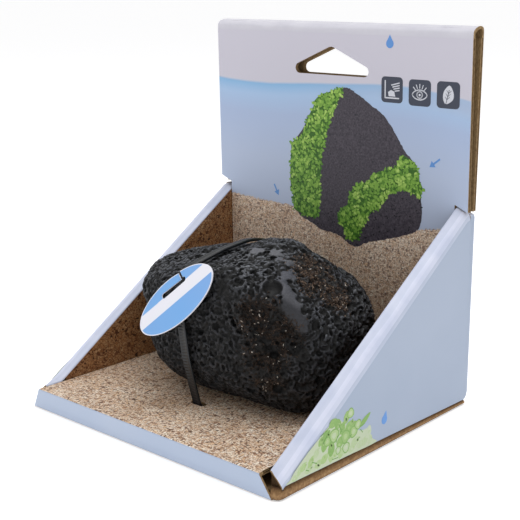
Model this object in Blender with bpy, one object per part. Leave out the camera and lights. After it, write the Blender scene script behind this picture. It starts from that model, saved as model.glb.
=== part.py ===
"""Lava rock tied down in an open display carton of printed corrugated board.

Millimetres in the design values, metres in the model. X runs left to right, Y from the front fold
towards the hanging header, Z up. The carton is one folded blank, so each panel is a board between
two creases. The model's origin is under the middle of its box.
"""
import math

import bmesh
import bpy
import numpy as np
from mathutils import Vector, noise

# Driving dimensions, in millimetres
MM = 0.001
GAP = 0.3                   # clearance between touching pieces
BOARD = 1.6                 # E-flute board
WIDTH = 120.0               # outer width of the carton
DEPTH = 108.0               # front fold to the back panel's foot
HEIGHT = 138.3              # top of the rolled header
LIP_HEIGHT = 8.4
LIP_LEAN = 1.6              # the lip's top edge leans forward
LIP_TAPER = 5.2             # the lip is narrower at its top edge
LIP_RIGHT = 57.2            # its right end stops short of the base's corner
FLOOR_RIGHT = 53.0          # and the floor short of the right gusset
BACK_LEAN = 0.6             # the back panel's top leans rearwards
WALL = 5.2                  # gussets are hollow walls of this width
FLOOR_FRONT = 8.4           # top of the raised floor at the lip
FLOOR_REAR = 7.2            # and at the header
HEADER_FRONT_FOOT = 104.4   # Y of the header's printed face at the floor
HEADER_SLOPE = 0.0215       # the printed face leans forward by this per millimetre
HEADER_CREASE = 134.0       # where the header's boards reach the rolled top
HOLE_CENTRE = -1.3          # hang hole, X
HOLE_WIDTH = 35.0
HOLE_BOTTOM = 118.5
HOLE_PEAK = 129.1
TIE_WIDTH = 3.6
TIE_THICKNESS = 1.1
TIE_LEAN = 0.13             # the tie's plane leans left by this per millimetre of height
TIE_FRONT = 27.4            # Y of the tie's front hole in the floor
TIE_REAR = 95.0             # Y of its rear hole
HEAD_SIZE = (5.6, 5.2, 3.8)
HEAD_CENTRE = (-0.5, 52.0, 3.95)
TAG_LENGTH = 38.2
TAG_BREADTH = 16.0
TAG_CARD = 0.4
TAG_ANGLE = 45.0            # the long axis rises to the right
TAG_TILT = 20.0             # the tag's top leans back onto the rock

HALF = WIDTH / 2
INNER = HALF - WALL         # the inner gusset panel's outer side starts inside this
MID_Y = (DEPTH + BACK_LEAN - LIP_LEAN) / 2


def at(x, y, z):
    """Millimetres measured from the front fold, as a point of the model."""
    return Vector((x, y - MID_Y, z)) * MM


def finish(name, red, green, blue, roughness):
    """A material with the piece's colour, in linear values."""
    material = bpy.data.materials.new(name)
    material.use_nodes = True
    shader = material.node_tree.nodes["Principled BSDF"]
    shader.inputs["Base Color"].default_value = (red, green, blue, 1.0)
    shader.inputs["Roughness"].default_value = roughness
    material.diffuse_color = (red, green, blue, 1.0)
    return material


def solid(name, bm, material, smooth=None):
    """A named object from a closed bmesh."""
    bmesh.ops.recalc_face_normals(bm, faces=bm.faces)
    mesh = bpy.data.meshes.new(name)
    bm.to_mesh(mesh)
    bm.free()
    mesh.materials.append(material)
    if smooth is not None:
        mesh.shade_smooth()
        mesh.set_sharp_from_angle(angle=math.radians(smooth))
    piece = bpy.data.objects.new(name, mesh)
    bpy.context.scene.collection.objects.link(piece)
    return piece


def prism(name, outline, along, material, smooth=None):
    """The outline, a list of points, carried along a vector."""
    bm = bmesh.new()
    low = [bm.verts.new(point) for point in outline]
    high = [bm.verts.new(point + along) for point in outline]
    bm.faces.new(low)
    bm.faces.new(list(reversed(high)))
    for i in range(len(low)):
        j = (i + 1) % len(low)
        bm.faces.new((low[i], high[i], high[j], low[j]))
    return solid(name, bm, material, smooth)


def loft(name, rings, material, closed=False, smooth=None):
    """Rings of equal count joined in order, with end faces or closed into a loop."""
    bm = bmesh.new()
    rows = [[bm.verts.new(point) for point in ring] for ring in rings]
    count = len(rows[0])
    pairs = len(rows) if closed else len(rows) - 1
    for i in range(pairs):
        near, far = rows[i], rows[(i + 1) % len(rows)]
        for j in range(count):
            k = (j + 1) % count
            bm.faces.new((near[j], near[k], far[k], far[j]))
    if not closed:
        bm.faces.new(rows[0])
        bm.faces.new(list(reversed(rows[-1])))
    return solid(name, bm, material, smooth)


def arc(centre, radius, start, end, steps):
    """Points of an arc in a plane, as pairs, angles in degrees."""
    angles = np.radians(np.linspace(start, end, steps + 1))
    return [(centre[0] + radius * math.cos(a), centre[1] + radius * math.sin(a)) for a in angles]


def cut(piece, outline, along):
    """Take a prism out of a piece."""
    cutter = prism(piece.name + "_cutter", outline, along, piece.data.materials[0])
    cutter.hide_render = True
    cutter.display_type = "WIRE"
    boolean = piece.modifiers.new(cutter.name, "BOOLEAN")
    boolean.operation = "DIFFERENCE"
    boolean.solver = "EXACT"
    boolean.object = cutter


# The carton

def floor_top(y):
    """Height of the raised floor's printed side."""
    return FLOOR_FRONT + (FLOOR_REAR - FLOOR_FRONT) * y / HEADER_FRONT_FOOT


def header_front(z):
    """Y of the header's printed face."""
    return HEADER_FRONT_FOOT - HEADER_SLOPE * (z - FLOOR_FRONT)


def back_face(z):
    """Y of the back panel's outer face."""
    return DEPTH + BACK_LEAN * z / HEADER_CREASE


def base_panel(board):
    front = BOARD + GAP
    rear = DEPTH - BOARD - GAP
    corner = 4.0
    left = arc((corner - HALF, front + corner), corner, 180, 270, 6)
    right = arc((HALF - corner, front + corner), corner, 270, 360, 6)
    outline = left + right + [(HALF, rear), (-HALF, rear)]
    prism("base_panel", [at(x, y, 0) for x, y in outline], Vector((0, 0, BOARD * MM)), board)


def front_lip(board):
    outline = [
        at(-HALF, 0, 0),
        at(LIP_RIGHT, 0, 0),
        at(FLOOR_RIGHT + GAP, -LIP_LEAN, LIP_HEIGHT),
        at(LIP_TAPER - HALF, -LIP_LEAN, LIP_HEIGHT),
    ]
    prism("front_lip", outline, Vector((0, BOARD * MM, 0)), board)


def tie_slot(y, lean):
    """Outline of a hole for the tie: a slit across the floor with rounded ends."""
    reach = TIE_WIDTH / 2 + 0.1
    radius = (TIE_THICKNESS + 1.9) / 2
    x = tie_x(floor_top(y))
    right = arc((x + reach, y + lean), radius, -90, 90, 6)
    left = arc((x - reach, y + lean), radius, 90, 270, 6)
    return [at(px, py, 0) for px, py in right + left]


def floor_panel(board):
    left = GAP - INNER
    front = GAP
    rear = DEPTH - BOARD - 2 * GAP
    profile = [
        (front, floor_top(front)),
        (rear, floor_top(rear)),
        (rear, floor_top(rear) - BOARD),
        (front + 1.6, floor_top(front) - BOARD),
    ]
    outline = [at(left, y, z) for y, z in profile]
    piece = prism("floor_panel", outline, Vector(((FLOOR_RIGHT - left) * MM, 0, 0)), board)
    cut(piece, tie_slot(TIE_FRONT, 0.1), Vector((0, 0, 20 * MM)))
    cut(piece, tie_slot(TIE_REAR, 0.1), Vector((0, 0, 20 * MM)))


def hang_hole():
    """A hang hole with round ends and a raised middle, as pairs of X and Z."""
    end = 2.0
    peak = 3.2
    half = HOLE_WIDTH / 2
    low = HOLE_BOTTOM + end
    crown = HOLE_PEAK - peak
    rise = math.atan2(crown - low, half - end)
    tilt = math.degrees(rise)
    points = arc((HOLE_CENTRE - half + end, low), end, 90 + tilt, 270, 7)
    points += arc((HOLE_CENTRE + half - end, low), end, -90, 90 - tilt, 7)
    points += arc((HOLE_CENTRE, crown), peak, 90 - tilt, 90 + tilt, 6)
    return points


def header_panels(board):
    wide = HALF
    narrow = INNER - GAP
    foot = floor_top(HEADER_FRONT_FOOT) + 2 * GAP
    outline = [
        (narrow, foot),
        (narrow, CREASES["right"]["inner"][1] + 2 * GAP),
        (wide, CREASES["right"]["outer"][1] + 2 * GAP),
        (wide, HEADER_CREASE),
        (-wide, HEADER_CREASE),
        (-wide, CREASES["left"]["outer"][1] + 3.4),
        (-narrow, CREASES["left"]["outer"][1] + 4 * GAP),
        (-narrow, foot),
    ]
    front = prism(
        "header_front_panel",
        [at(x, header_front(z), z) for x, z in outline],
        Vector((0, BOARD * MM, 0)),
        board,
    )
    between = HALF - BOARD - GAP
    left = CREASES["left"]["outer"][1] + 2 * GAP
    right = CREASES["right"]["outer"][1] + 2 * GAP
    back = prism(
        "header_back_panel",
        [at(x, back_face(z) - BOARD, z) for x, z in
         ((-between, 0), (between, 0), (between, right), (wide, right),
          (wide, HEADER_CREASE), (-wide, HEADER_CREASE), (-wide, left), (-between, left))],
        Vector((0, BOARD * MM, 0)),
        board,
    )
    hole = [at(x, DEPTH - 20, z) for x, z in hang_hole()]
    for piece in (front, back):
        cut(piece, hole, Vector((0, 40 * MM, 0)))


def header_top_fold(board):
    """The rolled top: a low front shoulder and a higher rear one, one board thick."""
    crease = HEADER_CREASE + GAP
    y_front = header_front(crease)
    y_back = back_face(crease)
    outer = [(y_front, crease)]
    outer += arc((y_front + 2.4, 134.9), 2.4, 180, 110, 4)
    outer += arc((y_back - 2.6, HEIGHT - 2.6), 2.6, 95, 0, 5)
    outer += [(y_back, crease)]
    inner = [(y_back - BOARD, crease)]
    inner += arc((y_back - 2.6, HEIGHT - 2.6), 1.0, 0, 95, 4)
    inner += arc((y_front + 2.4, 134.9), 0.8, 110, 180, 4)
    inner += [(y_front + BOARD, crease)]
    outline = [at(-HALF, y, z) for y, z in outer + inner]
    prism("header_top_fold", outline, Vector((WIDTH * MM, 0, 0)), board, 40)


# Creases of each gusset's top fold: height at the front end, and at the rear where it flattens.
# The left wall was folded a little lower, and its fold leans inwards.
CREASES = {
    "left": {"inner": (4.3, 69.2), "outer": (5.0, 70.2)},
    "right": {"inner": (8.8, 75.0), "outer": (4.5, 72.6)},
}
GUSSET_FRONT = 2.0
GUSSET_START = 9.2          # from here both creases rise evenly
INNER_START = 12.0          # the inner panel starts where the fold's underside is clear of the floor
OUTER_START = 5.4           # the outer panel's blunt front end
OUTER_FOOT_FRONT = 4.4      # its lower edge stands clear of the base, more at the front
OUTER_FOOT_REAR = 1.9
GUSSET_FLAT = 103.9         # from here the fold runs level to the header
GUSSET_REAR = DEPTH - BOARD - GAP - 0.4
OUTER_REAR = DEPTH          # the outer panel covers the back panel's edge
FOLD_DEPTH = 2.2            # upright thickness of the folded edge
FOLD_TIP = 0.5              # and of its outer side at the pointed front end


def crease(side, edge, y):
    """Height of a gusset's inner or outer crease."""
    low, high = CREASES[side][edge]
    share = (min(y, GUSSET_FLAT) - GUSSET_FRONT) / (GUSSET_FLAT - GUSSET_FRONT)
    height = low + (high - low) * share
    return max(height, LIP_HEIGHT + 0.4) if edge == "inner" else height


def fold_under(side, y, across):
    """Underside of the fold, across from 0 at the inner crease to 1 at the outer one."""
    share = (min(y, GUSSET_FLAT) - GUSSET_FRONT) / (GUSSET_FLAT - GUSSET_FRONT)
    inner = crease(side, "inner", y) - FOLD_DEPTH
    outer = crease(side, "outer", y) - FOLD_TIP - (FOLD_DEPTH - FOLD_TIP) * share
    return inner + (outer - inner) * across


def gusset(side, board):
    """One hollow side wall: inner panel, outer panel and the sloping fold between them."""
    sign = -1 if side == "left" else 1
    stations = [GUSSET_FRONT, GUSSET_START, GUSSET_FLAT, GUSSET_REAR]
    rings = []
    for y in stations:
        rings.append([
            at(sign * INNER, y, crease(side, "inner", y)),
            at(sign * HALF, y, crease(side, "outer", y)),
            at(sign * HALF, y, fold_under(side, y, 1.0)),
            at(sign * INNER, y, fold_under(side, y, 0.0)),
        ])
    loft("gusset_fold_" + side, rings, board)

    start = INNER_START
    thin = BOARD / WALL
    foot = [(start, floor_top(start) - BOARD), (GUSSET_REAR, floor_top(GUSSET_REAR) - BOARD)]
    top = []
    for y in (GUSSET_REAR, GUSSET_FLAT, start):
        lowest = min(fold_under(side, y, 0.0), fold_under(side, y, thin))
        top.append((y, lowest - 2 * GAP))
    board_depth = Vector((sign * BOARD * MM, 0, 0))
    outline = [at(sign * INNER, y, z) for y, z in foot + top]
    prism("gusset_inner_" + side, outline, board_depth, board)

    start = OUTER_START
    foot = [(start, OUTER_FOOT_FRONT), (OUTER_REAR, OUTER_FOOT_REAR)]
    crown = crease(side, "outer", GUSSET_REAR)
    top = [(OUTER_REAR, crown), (GUSSET_REAR + GAP, crown)]
    for y in (GUSSET_REAR + GAP, GUSSET_FLAT, GUSSET_START, start):
        lowest = min(fold_under(side, y, 1.0), fold_under(side, y, 1.0 - thin))
        top.append((y, lowest - 2 * GAP))
    outline = [at(sign * HALF, y, z) for y, z in foot + top]
    prism("gusset_outer_" + side, outline, -board_depth, board)


# The rock

ROCK_CENTRE = Vector((-1.0, 58.0, 33.0))
# Outward direction and distance from the centre of each broad facet of the broken stone
ROCK_FACETS = (
    ((0.0, 0.0, -1.0), 24.5),
    ((0.0, -1.0, 0.02), 33.2),
    ((0.0, 1.0, 0.0), 33.0),
    ((-1.0, 0.0, 0.0), 51.0),
    ((1.0, 0.0, 0.0), 48.5),
    ((-0.53, -0.85, 0.05), 38.5),
    ((0.62, -0.78, 0.0), 45.0),
    ((-0.6, 0.8, 0.0), 44.0),
    ((-0.5, 0.5, 0.8), 35.0),
    ((0.6, 0.8, 0.0), 40.0),
    ((-0.27, -0.19, 1.0), 27.4),
    ((0.2, -0.15, 1.0), 33.4),
    ((0.6, 0.05, 1.0), 37.2),
    ((1.0, 0.1, 1.0), 40.0),
    ((0.0, 0.55, 1.0), 27.8),
    ((0.0, -0.67, -0.74), 32.0),
    ((-0.85, -0.35, -0.38), 40.5),
    ((-0.55, -0.5, -0.67), 36.5),
    ((0.5, -0.6, -0.6), 46.0),
    ((0.75, 0.3, -0.66), 42.0),
)
ROCK_SHARPNESS = 15.0
# Point on the surface, radius and depth of each broad hollow; a swelling has a negative depth
ROCK_HOLLOWS = (
    ((-10.5, 28.0, 53.5), 5.0, 1.5),
    ((-8.5, 64.0, 60.5), 4.2, 1.5),
    ((30.5, 79.0, 52.5), 10.0, 4.0),
    ((31.0, 28.5, 38.0), 11.0, 5.0),
    ((-46.0, 53.0, 49.0), 8.0, -2.6),
    ((-40.0, 60.0, 51.5), 6.5, -1.5),
    ((-37.1, 35.3, 41.2), 5.0, -1.0),
    ((2.5, 64.5, 61.8), 6.0, -2.0),
    ((12.0, 64.5, 61.5), 6.0, -2.0),
)
ROCK_GRID = 14


def rock_point(direction):
    """Where a ray from the rock's centre leaves the stone."""
    total = 0.0
    for normal, distance in ROCK_FACETS:
        facing = direction.dot(Vector(normal).normalized())
        total += (max(0.0, facing) / distance) ** ROCK_SHARPNESS
    radius = total ** (-1.0 / ROCK_SHARPNESS)
    point = ROCK_CENTRE + direction * radius
    radius += 1.5 * noise.noise(point / 13.0) + 0.8 * noise.noise(point / 6.0)
    for place, reach, depth in ROCK_HOLLOWS:
        near = (point - Vector(place)).length / reach
        radius -= depth * math.exp(-near * near)
    point = ROCK_CENTRE + direction * radius
    point.z = max(point.z, floor_top(point.y) + GAP)
    return point


def lava_rock(stone):
    bm = bmesh.new()
    found = {}
    for axis in range(3):
        for sign in (-1, 1):
            rows = []
            for i in range(ROCK_GRID + 1):
                row = []
                for j in range(ROCK_GRID + 1):
                    u = math.tan(math.radians(90.0 * i / ROCK_GRID - 45.0))
                    v = math.tan(math.radians(90.0 * j / ROCK_GRID - 45.0))
                    corner = [0.0, 0.0, 0.0]
                    corner[axis] = float(sign)
                    corner[(axis + 1) % 3] = u
                    corner[(axis + 2) % 3] = v
                    direction = Vector(corner).normalized()
                    key = tuple(round(value, 5) for value in direction)
                    if key not in found:
                        found[key] = bm.verts.new(at(*rock_point(direction)))
                    row.append(found[key])
                rows.append(row)
            for i in range(ROCK_GRID):
                for j in range(ROCK_GRID):
                    bm.faces.new((rows[i][j], rows[i + 1][j], rows[i + 1][j + 1], rows[i][j + 1]))
    bmesh.ops.triangulate(bm, faces=bm.faces)
    return solid("lava_rock", bm, stone, 60)


# The cable tie

def tie_x(z):
    """X of the tie's middle at a height."""
    return -1.0 - TIE_LEAN * (z - FLOOR_FRONT)


def hull(points):
    """Convex outline of a cloud of pairs, anticlockwise."""
    points = sorted(set(points))
    chains = []
    for sequence in (points, list(reversed(points))):
        chain = []
        for point in sequence:
            while len(chain) > 1:
                (ax, ay), (bx, by) = chain[-2], chain[-1]
                if (bx - ax) * (point[1] - ay) - (by - ay) * (point[0] - ax) > 0:
                    break
                chain.pop()
            chain.append(point)
        chains.append(chain[:-1])
    return chains[0] + chains[1]


def soften(loop, rounds):
    """Cut a closed loop's corners, so that it bends like a strap."""
    for _ in range(rounds):
        smooth = []
        for i, here in enumerate(loop):
            after = loop[(i + 1) % len(loop)]
            smooth.append(tuple(0.75 * a + 0.25 * b for a, b in zip(here, after)))
            smooth.append(tuple(0.25 * a + 0.75 * b for a, b in zip(here, after)))
        loop = smooth
    return loop


def resample(loop, spacing):
    """The same closed loop with points a set distance apart."""
    points = np.array(loop + [loop[0]])
    steps = np.linalg.norm(np.diff(points, axis=0), axis=1)
    travel = np.concatenate(([0.0], np.cumsum(steps)))
    count = int(travel[-1] / spacing)
    places = np.linspace(0.0, travel[-1], count, endpoint=False)
    return [(float(np.interp(s, travel, points[:, 0])), float(np.interp(s, travel, points[:, 1])))
            for s in places]


def push_out(loop, distance):
    """A closed anticlockwise loop moved outwards by a distance."""
    moved = []
    for i, here in enumerate(loop):
        before = loop[i - 1]
        after = loop[(i + 1) % len(loop)]
        along = Vector((after[0] - before[0], after[1] - before[1])).normalized()
        moved.append((here[0] + along.y * distance, here[1] - along.x * distance))
    return moved


def tie_head(nylon):
    """The ratchet head, under the floor."""
    bm = bmesh.new()
    bmesh.ops.create_cube(bm, size=1.0)
    for vertex in bm.verts:
        vertex.co = Vector(a * b for a, b in zip(vertex.co, HEAD_SIZE)) * MM + at(*HEAD_CENTRE)
    bmesh.ops.bevel(bm, geom=bm.edges, offset=0.6 * MM, segments=2, affect="EDGES")
    head = solid("tie_head_cutter", bm, nylon)
    head.hide_render = True
    head.display_type = "WIRE"
    return head


def cable_tie(nylon, rock):
    """A taut band round the rock and under the floor, with its moulded head in the hollow."""
    across = Vector((1.0, 0.0, TIE_LEAN)).normalized()
    up = Vector((-TIE_LEAN, 0.0, 1.0)).normalized()
    origin = at(tie_x(FLOOR_FRONT), MID_Y, FLOOR_FRONT)
    cloud = []
    for vertex in rock.data.vertices:
        offset = (vertex.co - origin) / MM
        if abs(offset.dot(across)) < TIE_WIDTH / 2 + 1.5:
            cloud.append((round(offset.y, 3), round(offset.dot(up), 3)))
    low = floor_top(TIE_REAR) - FLOOR_FRONT - BOARD - 2 * GAP
    inset = 2 * GAP + TIE_THICKNESS / 2
    for y in (TIE_FRONT + inset, TIE_REAR - inset):
        cloud.append((y - MID_Y, low))
    bend = resample(soften(resample(hull(cloud), 1.0), 2), 2.4)
    inner = push_out(bend, 2 * GAP)
    outer = push_out(inner, TIE_THICKNESS)
    rings = []
    for (near_y, near_z), (far_y, far_z) in zip(inner, outer):
        near = origin + (Vector((0, near_y, 0)) + up * near_z) * MM
        far = origin + (Vector((0, far_y, 0)) + up * far_z) * MM
        side = across * (TIE_WIDTH / 2) * MM
        rings.append([near - side, far - side, far + side, near + side])
    strap = loft("cable_tie", rings, nylon, closed=True, smooth=30)
    head = tie_head(nylon)
    union = strap.modifiers.new("moulded_head", "BOOLEAN")
    union.operation = "UNION"
    union.solver = "EXACT"
    union.object = head
    return strap


# The tag

TAG_CENTRE = Vector((-5.9, 21.6, 46.7))
SLOT_LEFT = -4.6            # along the long axis
SLOT_RIGHT = 7.2
SLOT_RISE = 4.6             # the slot's middle, above the long axis
SLOT_WIDTH = 2.4
SLIT_LEFT = 1.4             # the lobe ends here, and the slit opens to the rim
SLIT_RIGHT = 4.2
LOBE_BEND = 2.2             # the lobe's end is bent back behind the strap


def tag_outline():
    """The card's outline: an oval, open through a slit into a long slot."""
    a_half = TAG_LENGTH / 2
    b_half = TAG_BREADTH / 2
    start = math.degrees(math.acos(SLIT_RIGHT / a_half))
    stop = math.degrees(math.acos(SLIT_LEFT / a_half)) - 360.0
    angles = np.radians(np.linspace(start, stop, 56))
    rim = [(a_half * math.cos(t), b_half * math.sin(t)) for t in angles]
    half = SLOT_WIDTH / 2
    upper = SLOT_RISE + half
    mouth = [(SLIT_LEFT + 0.6, upper)]
    left_end = arc((SLOT_LEFT + half, SLOT_RISE), half, 90, 270, 6)
    right_end = arc((SLOT_RIGHT - half, SLOT_RISE), half, -90, 90, 6)
    return rim + mouth + left_end + right_end + [(SLIT_RIGHT + 0.6, upper)]


def tag(card):
    """A thin oval card with a slot, and a slit from the slot to the rim."""
    angle = math.radians(TAG_ANGLE)
    tilt = math.radians(TAG_TILT)
    up = Vector((0.0, math.sin(tilt), math.cos(tilt)))
    right = Vector((1.0, 0.0, 0.0))
    behind = Vector((0.0, math.cos(tilt), -math.sin(tilt)))
    long_axis = right * math.cos(angle) + up * math.sin(angle)
    short_axis = up * math.cos(angle) - right * math.sin(angle)
    points = []
    for a, b in tag_outline():
        point = TAG_CENTRE + long_axis * a + short_axis * b
        lobe = b > SLOT_RISE and SLOT_LEFT < a < (SLIT_LEFT + SLIT_RIGHT) / 2
        if lobe:
            share = (a - SLOT_LEFT) / (SLIT_LEFT - SLOT_LEFT)
            point += behind * (LOBE_BEND * share * share)
        points.append(at(*point))
    prism("tag", points, behind * (TAG_CARD * MM), card)


def build():
    for old in list(bpy.data.objects):
        bpy.data.objects.remove(old, do_unlink=True)
    print_blue = finish("printed_board_blue", 0.42, 0.52, 0.68, 0.45)
    print_sand = finish("printed_board_sand", 0.58, 0.43, 0.31, 0.5)
    kraft = finish("kraft_board", 0.28, 0.17, 0.09, 0.8)
    stone = finish("lava", 0.02, 0.021, 0.024, 0.8)
    nylon = finish("black_nylon", 0.012, 0.012, 0.013, 0.4)
    card = finish("tag_card", 0.25, 0.45, 0.8, 0.4)
    base_panel(kraft)
    front_lip(print_blue)
    floor_panel(print_sand)
    header_panels(print_blue)
    header_top_fold(print_blue)
    for side in ("left", "right"):
        gusset(side, print_blue)
    rock = lava_rock(stone)
    cable_tie(nylon, rock)
    tag(card)


build()
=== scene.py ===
"""Looks of a lava rock tied down in its open display carton.

The rock is carved from a volume, the carton's boards get liners, flutes and prints, and the tie, tag
and seeds are modelled as made. Lengths are in millimetres until piece() turns them into metres.
"""
import math

import bmesh
import bpy
import numpy as np
import openvdb
from mathutils import Matrix, Vector, noise


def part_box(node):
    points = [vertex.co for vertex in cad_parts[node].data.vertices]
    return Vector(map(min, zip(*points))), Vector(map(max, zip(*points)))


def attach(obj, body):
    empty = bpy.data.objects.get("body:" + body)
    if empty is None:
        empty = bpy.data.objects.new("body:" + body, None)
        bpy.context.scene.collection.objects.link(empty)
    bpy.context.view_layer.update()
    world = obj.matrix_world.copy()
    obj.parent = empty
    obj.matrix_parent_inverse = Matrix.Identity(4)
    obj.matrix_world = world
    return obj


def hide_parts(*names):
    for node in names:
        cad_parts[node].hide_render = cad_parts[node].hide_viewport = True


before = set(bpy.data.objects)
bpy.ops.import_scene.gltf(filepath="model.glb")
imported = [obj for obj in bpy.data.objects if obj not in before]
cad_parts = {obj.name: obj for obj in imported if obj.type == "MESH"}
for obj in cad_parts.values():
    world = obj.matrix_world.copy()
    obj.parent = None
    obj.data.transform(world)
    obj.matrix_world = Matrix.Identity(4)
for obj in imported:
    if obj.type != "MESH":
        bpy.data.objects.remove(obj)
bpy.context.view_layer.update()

MM = 0.001
LINER = 0.3                 # each outer sheet of a board
FLUTE_PITCH = 3.2           # E-flute
FLUTE_SHEET = 0.22


# Reading the frame

def box_mm(node):
    """Lowest and highest corner of a CAD node in millimetres."""
    low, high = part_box(node)
    return np.array(low) / MM, np.array(high) / MM


def node_points(node):
    """A CAD node's vertices in millimetres, each place once."""
    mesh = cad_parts[node].data
    points = np.array([vertex.co[:] for vertex in mesh.vertices]) / MM
    return np.unique(points.round(4), axis=0)


LIP_LOW = box_mm("front_lip")[0]
FLOOR_LOW, FLOOR_HIGH = box_mm("floor_panel")
HEADER_LOW, HEADER_HIGH = box_mm("header_front_panel")
FOLD_LOW, FOLD_HIGH = box_mm("header_top_fold")
HALF = box_mm("base_panel")[1][0]
INNER = box_mm("gusset_fold_right")[0][0]
BOARD = box_mm("base_panel")[1][2]              # thickness of the corrugated board
INK_ROOM = 0.06             # the gussets' faces stand back by this, so their ink stays in the box
FRONT = LIP_LOW[1] + BOARD                      # the front fold's foot
FLOOR_FRONT = FLOOR_HIGH[2]
FLOOR_REAR = max(p[2] for p in node_points("floor_panel") if p[1] > FLOOR_HIGH[1] - 1)
HEADER_SLOPE = (HEADER_HIGH[1] - BOARD - HEADER_LOW[1]) / (HEADER_HIGH[2] - HEADER_LOW[2])


def floor_top(y):
    """Height of the printed floor."""
    share = (y - FLOOR_LOW[1]) / (FLOOR_HIGH[1] - FLOOR_LOW[1])
    return FLOOR_FRONT + (FLOOR_REAR - FLOOR_FRONT) * share


def header_face(z):
    """Y of the header's printed face."""
    return HEADER_LOW[1] + HEADER_SLOPE * (HEADER_HIGH[2] - z)


# Meshes

class Shell:
    """Points and faces gathered for one piece, each face with a material number."""

    def __init__(self):
        self.points = []
        self.faces = []
        self.inks = []
        self.values = []

    def add(self, points, faces, inks=0, values=0.0):
        """Append a part; inks and values are one for all, or a list of one each."""
        start = len(self.points)
        count = len(points)
        self.points.extend(tuple(point) for point in points)
        self.faces.extend(tuple(start + i for i in face) for face in faces)
        self.inks.extend([inks] * len(faces) if isinstance(inks, int) else inks)
        self.values.extend([values] * count if isinstance(values, float) else values)

    def sweep(self, rings, inks, end_ink, values=0.0, closed=False):
        """Skin over rings of equal count; inks has one number for each side of the ring."""
        count = len(rings[0])
        faces = []
        colours = []
        last = len(rings) if closed else len(rings) - 1
        for i in range(last):
            following = (i + 1) % len(rings)
            for j in range(count):
                k = (j + 1) % count
                faces.append((i * count + j, i * count + k, following * count + k, following * count + j))
                colours.append(inks[j])
        if not closed:
            faces.append(tuple(range(count))[::-1])
            faces.append(tuple((len(rings) - 1) * count + j for j in range(count)))
            colours += [end_ink, end_ink]
        points = [point for ring in rings for point in ring]
        self.add(points, faces, colours, values)


def piece(name, shell, materials, replaces=(), smooth=None, attribute=None):
    """A finished object on the root body, its faces turned outwards."""
    mesh = bpy.data.meshes.new(name)
    mesh.from_pydata([tuple(c * MM for c in point) for point in shell.points], [], shell.faces)
    mesh.polygons.foreach_set("material_index", shell.inks)
    for material in materials:
        mesh.materials.append(material)
    if attribute:
        layer = mesh.attributes.new(attribute, "FLOAT", "POINT")
        layer.data.foreach_set("value", np.array(shell.values, np.float32))
    face_outwards(mesh)
    if smooth is not None:
        mesh.shade_smooth()
        mesh.set_sharp_from_angle(angle=math.radians(smooth))
    made = bpy.data.objects.new(name, mesh)
    bpy.context.scene.collection.objects.link(made)
    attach(made, "root")
    if replaces:
        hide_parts(*replaces)
    return made


def face_outwards(mesh):
    """Give each closed body in a mesh a consistent outward side."""
    bm = bmesh.new()
    bm.from_mesh(mesh)
    bmesh.ops.recalc_face_normals(bm, faces=bm.faces)
    bm.to_mesh(mesh)
    bm.free()


def rounded(corners, reaches, steps=5):
    """A path through corners, each inner corner rounded over its reach."""
    path = [np.array(corners[0], float)]
    for before, here, after, reach in zip(corners, corners[1:], corners[2:], reaches):
        before, here, after = (np.array(p, float) for p in (before, here, after))
        into = here + (before - here) * min(0.49, reach / max(np.linalg.norm(before - here), 1e-6))
        away = here + (after - here) * min(0.49, reach / max(np.linalg.norm(after - here), 1e-6))
        for t in np.linspace(0.0, 1.0, steps):
            path.append((1 - t) ** 2 * into + 2 * t * (1 - t) * here + t * t * away)
    path.append(np.array(corners[-1], float))
    return path


def wave(*place):
    """Smooth noise from -1 to 1 at a place."""
    return noise.noise(Vector(place + (0.5,) * (3 - len(place))))


# Corrugated board

def printed_side(node, facing):
    """The triangles of a CAD board's side that faces one way, as points and corner numbers."""
    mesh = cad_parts[node].data
    mesh.calc_loop_triangles()
    places = {}
    points = []
    triangles = []
    for triangle in mesh.loop_triangles:
        if triangle.normal.dot(Vector(facing)) < 0.999:
            continue
        corner = []
        for i in triangle.vertices:
            point = np.array(mesh.vertices[i].co[:]) / MM
            key = tuple(point.round(3))
            if key not in places:
                places[key] = len(points)
                points.append(point)
            corner.append(places[key])
        triangles.append(tuple(corner))
    return np.array(points), triangles


def slab(points, triangles, normal, start, depth):
    """A sheet of a given depth, starting below the printed side, as points, faces and which are its rim."""
    count = len(points)
    top = points - normal * start
    low = points - normal * (start + depth)
    edges = {}
    for a, b, c in triangles:
        for edge in ((a, b), (b, c), (c, a)):
            edges[edge] = True
    rim = [(a, b) for a, b in edges if (b, a) not in edges]
    faces = list(triangles)
    faces += [(c + count, b + count, a + count) for a, b, c in triangles]
    sides = [(b, a, a + count, b + count) for a, b in rim]
    return np.vstack([top, low]), faces, sides


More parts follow.
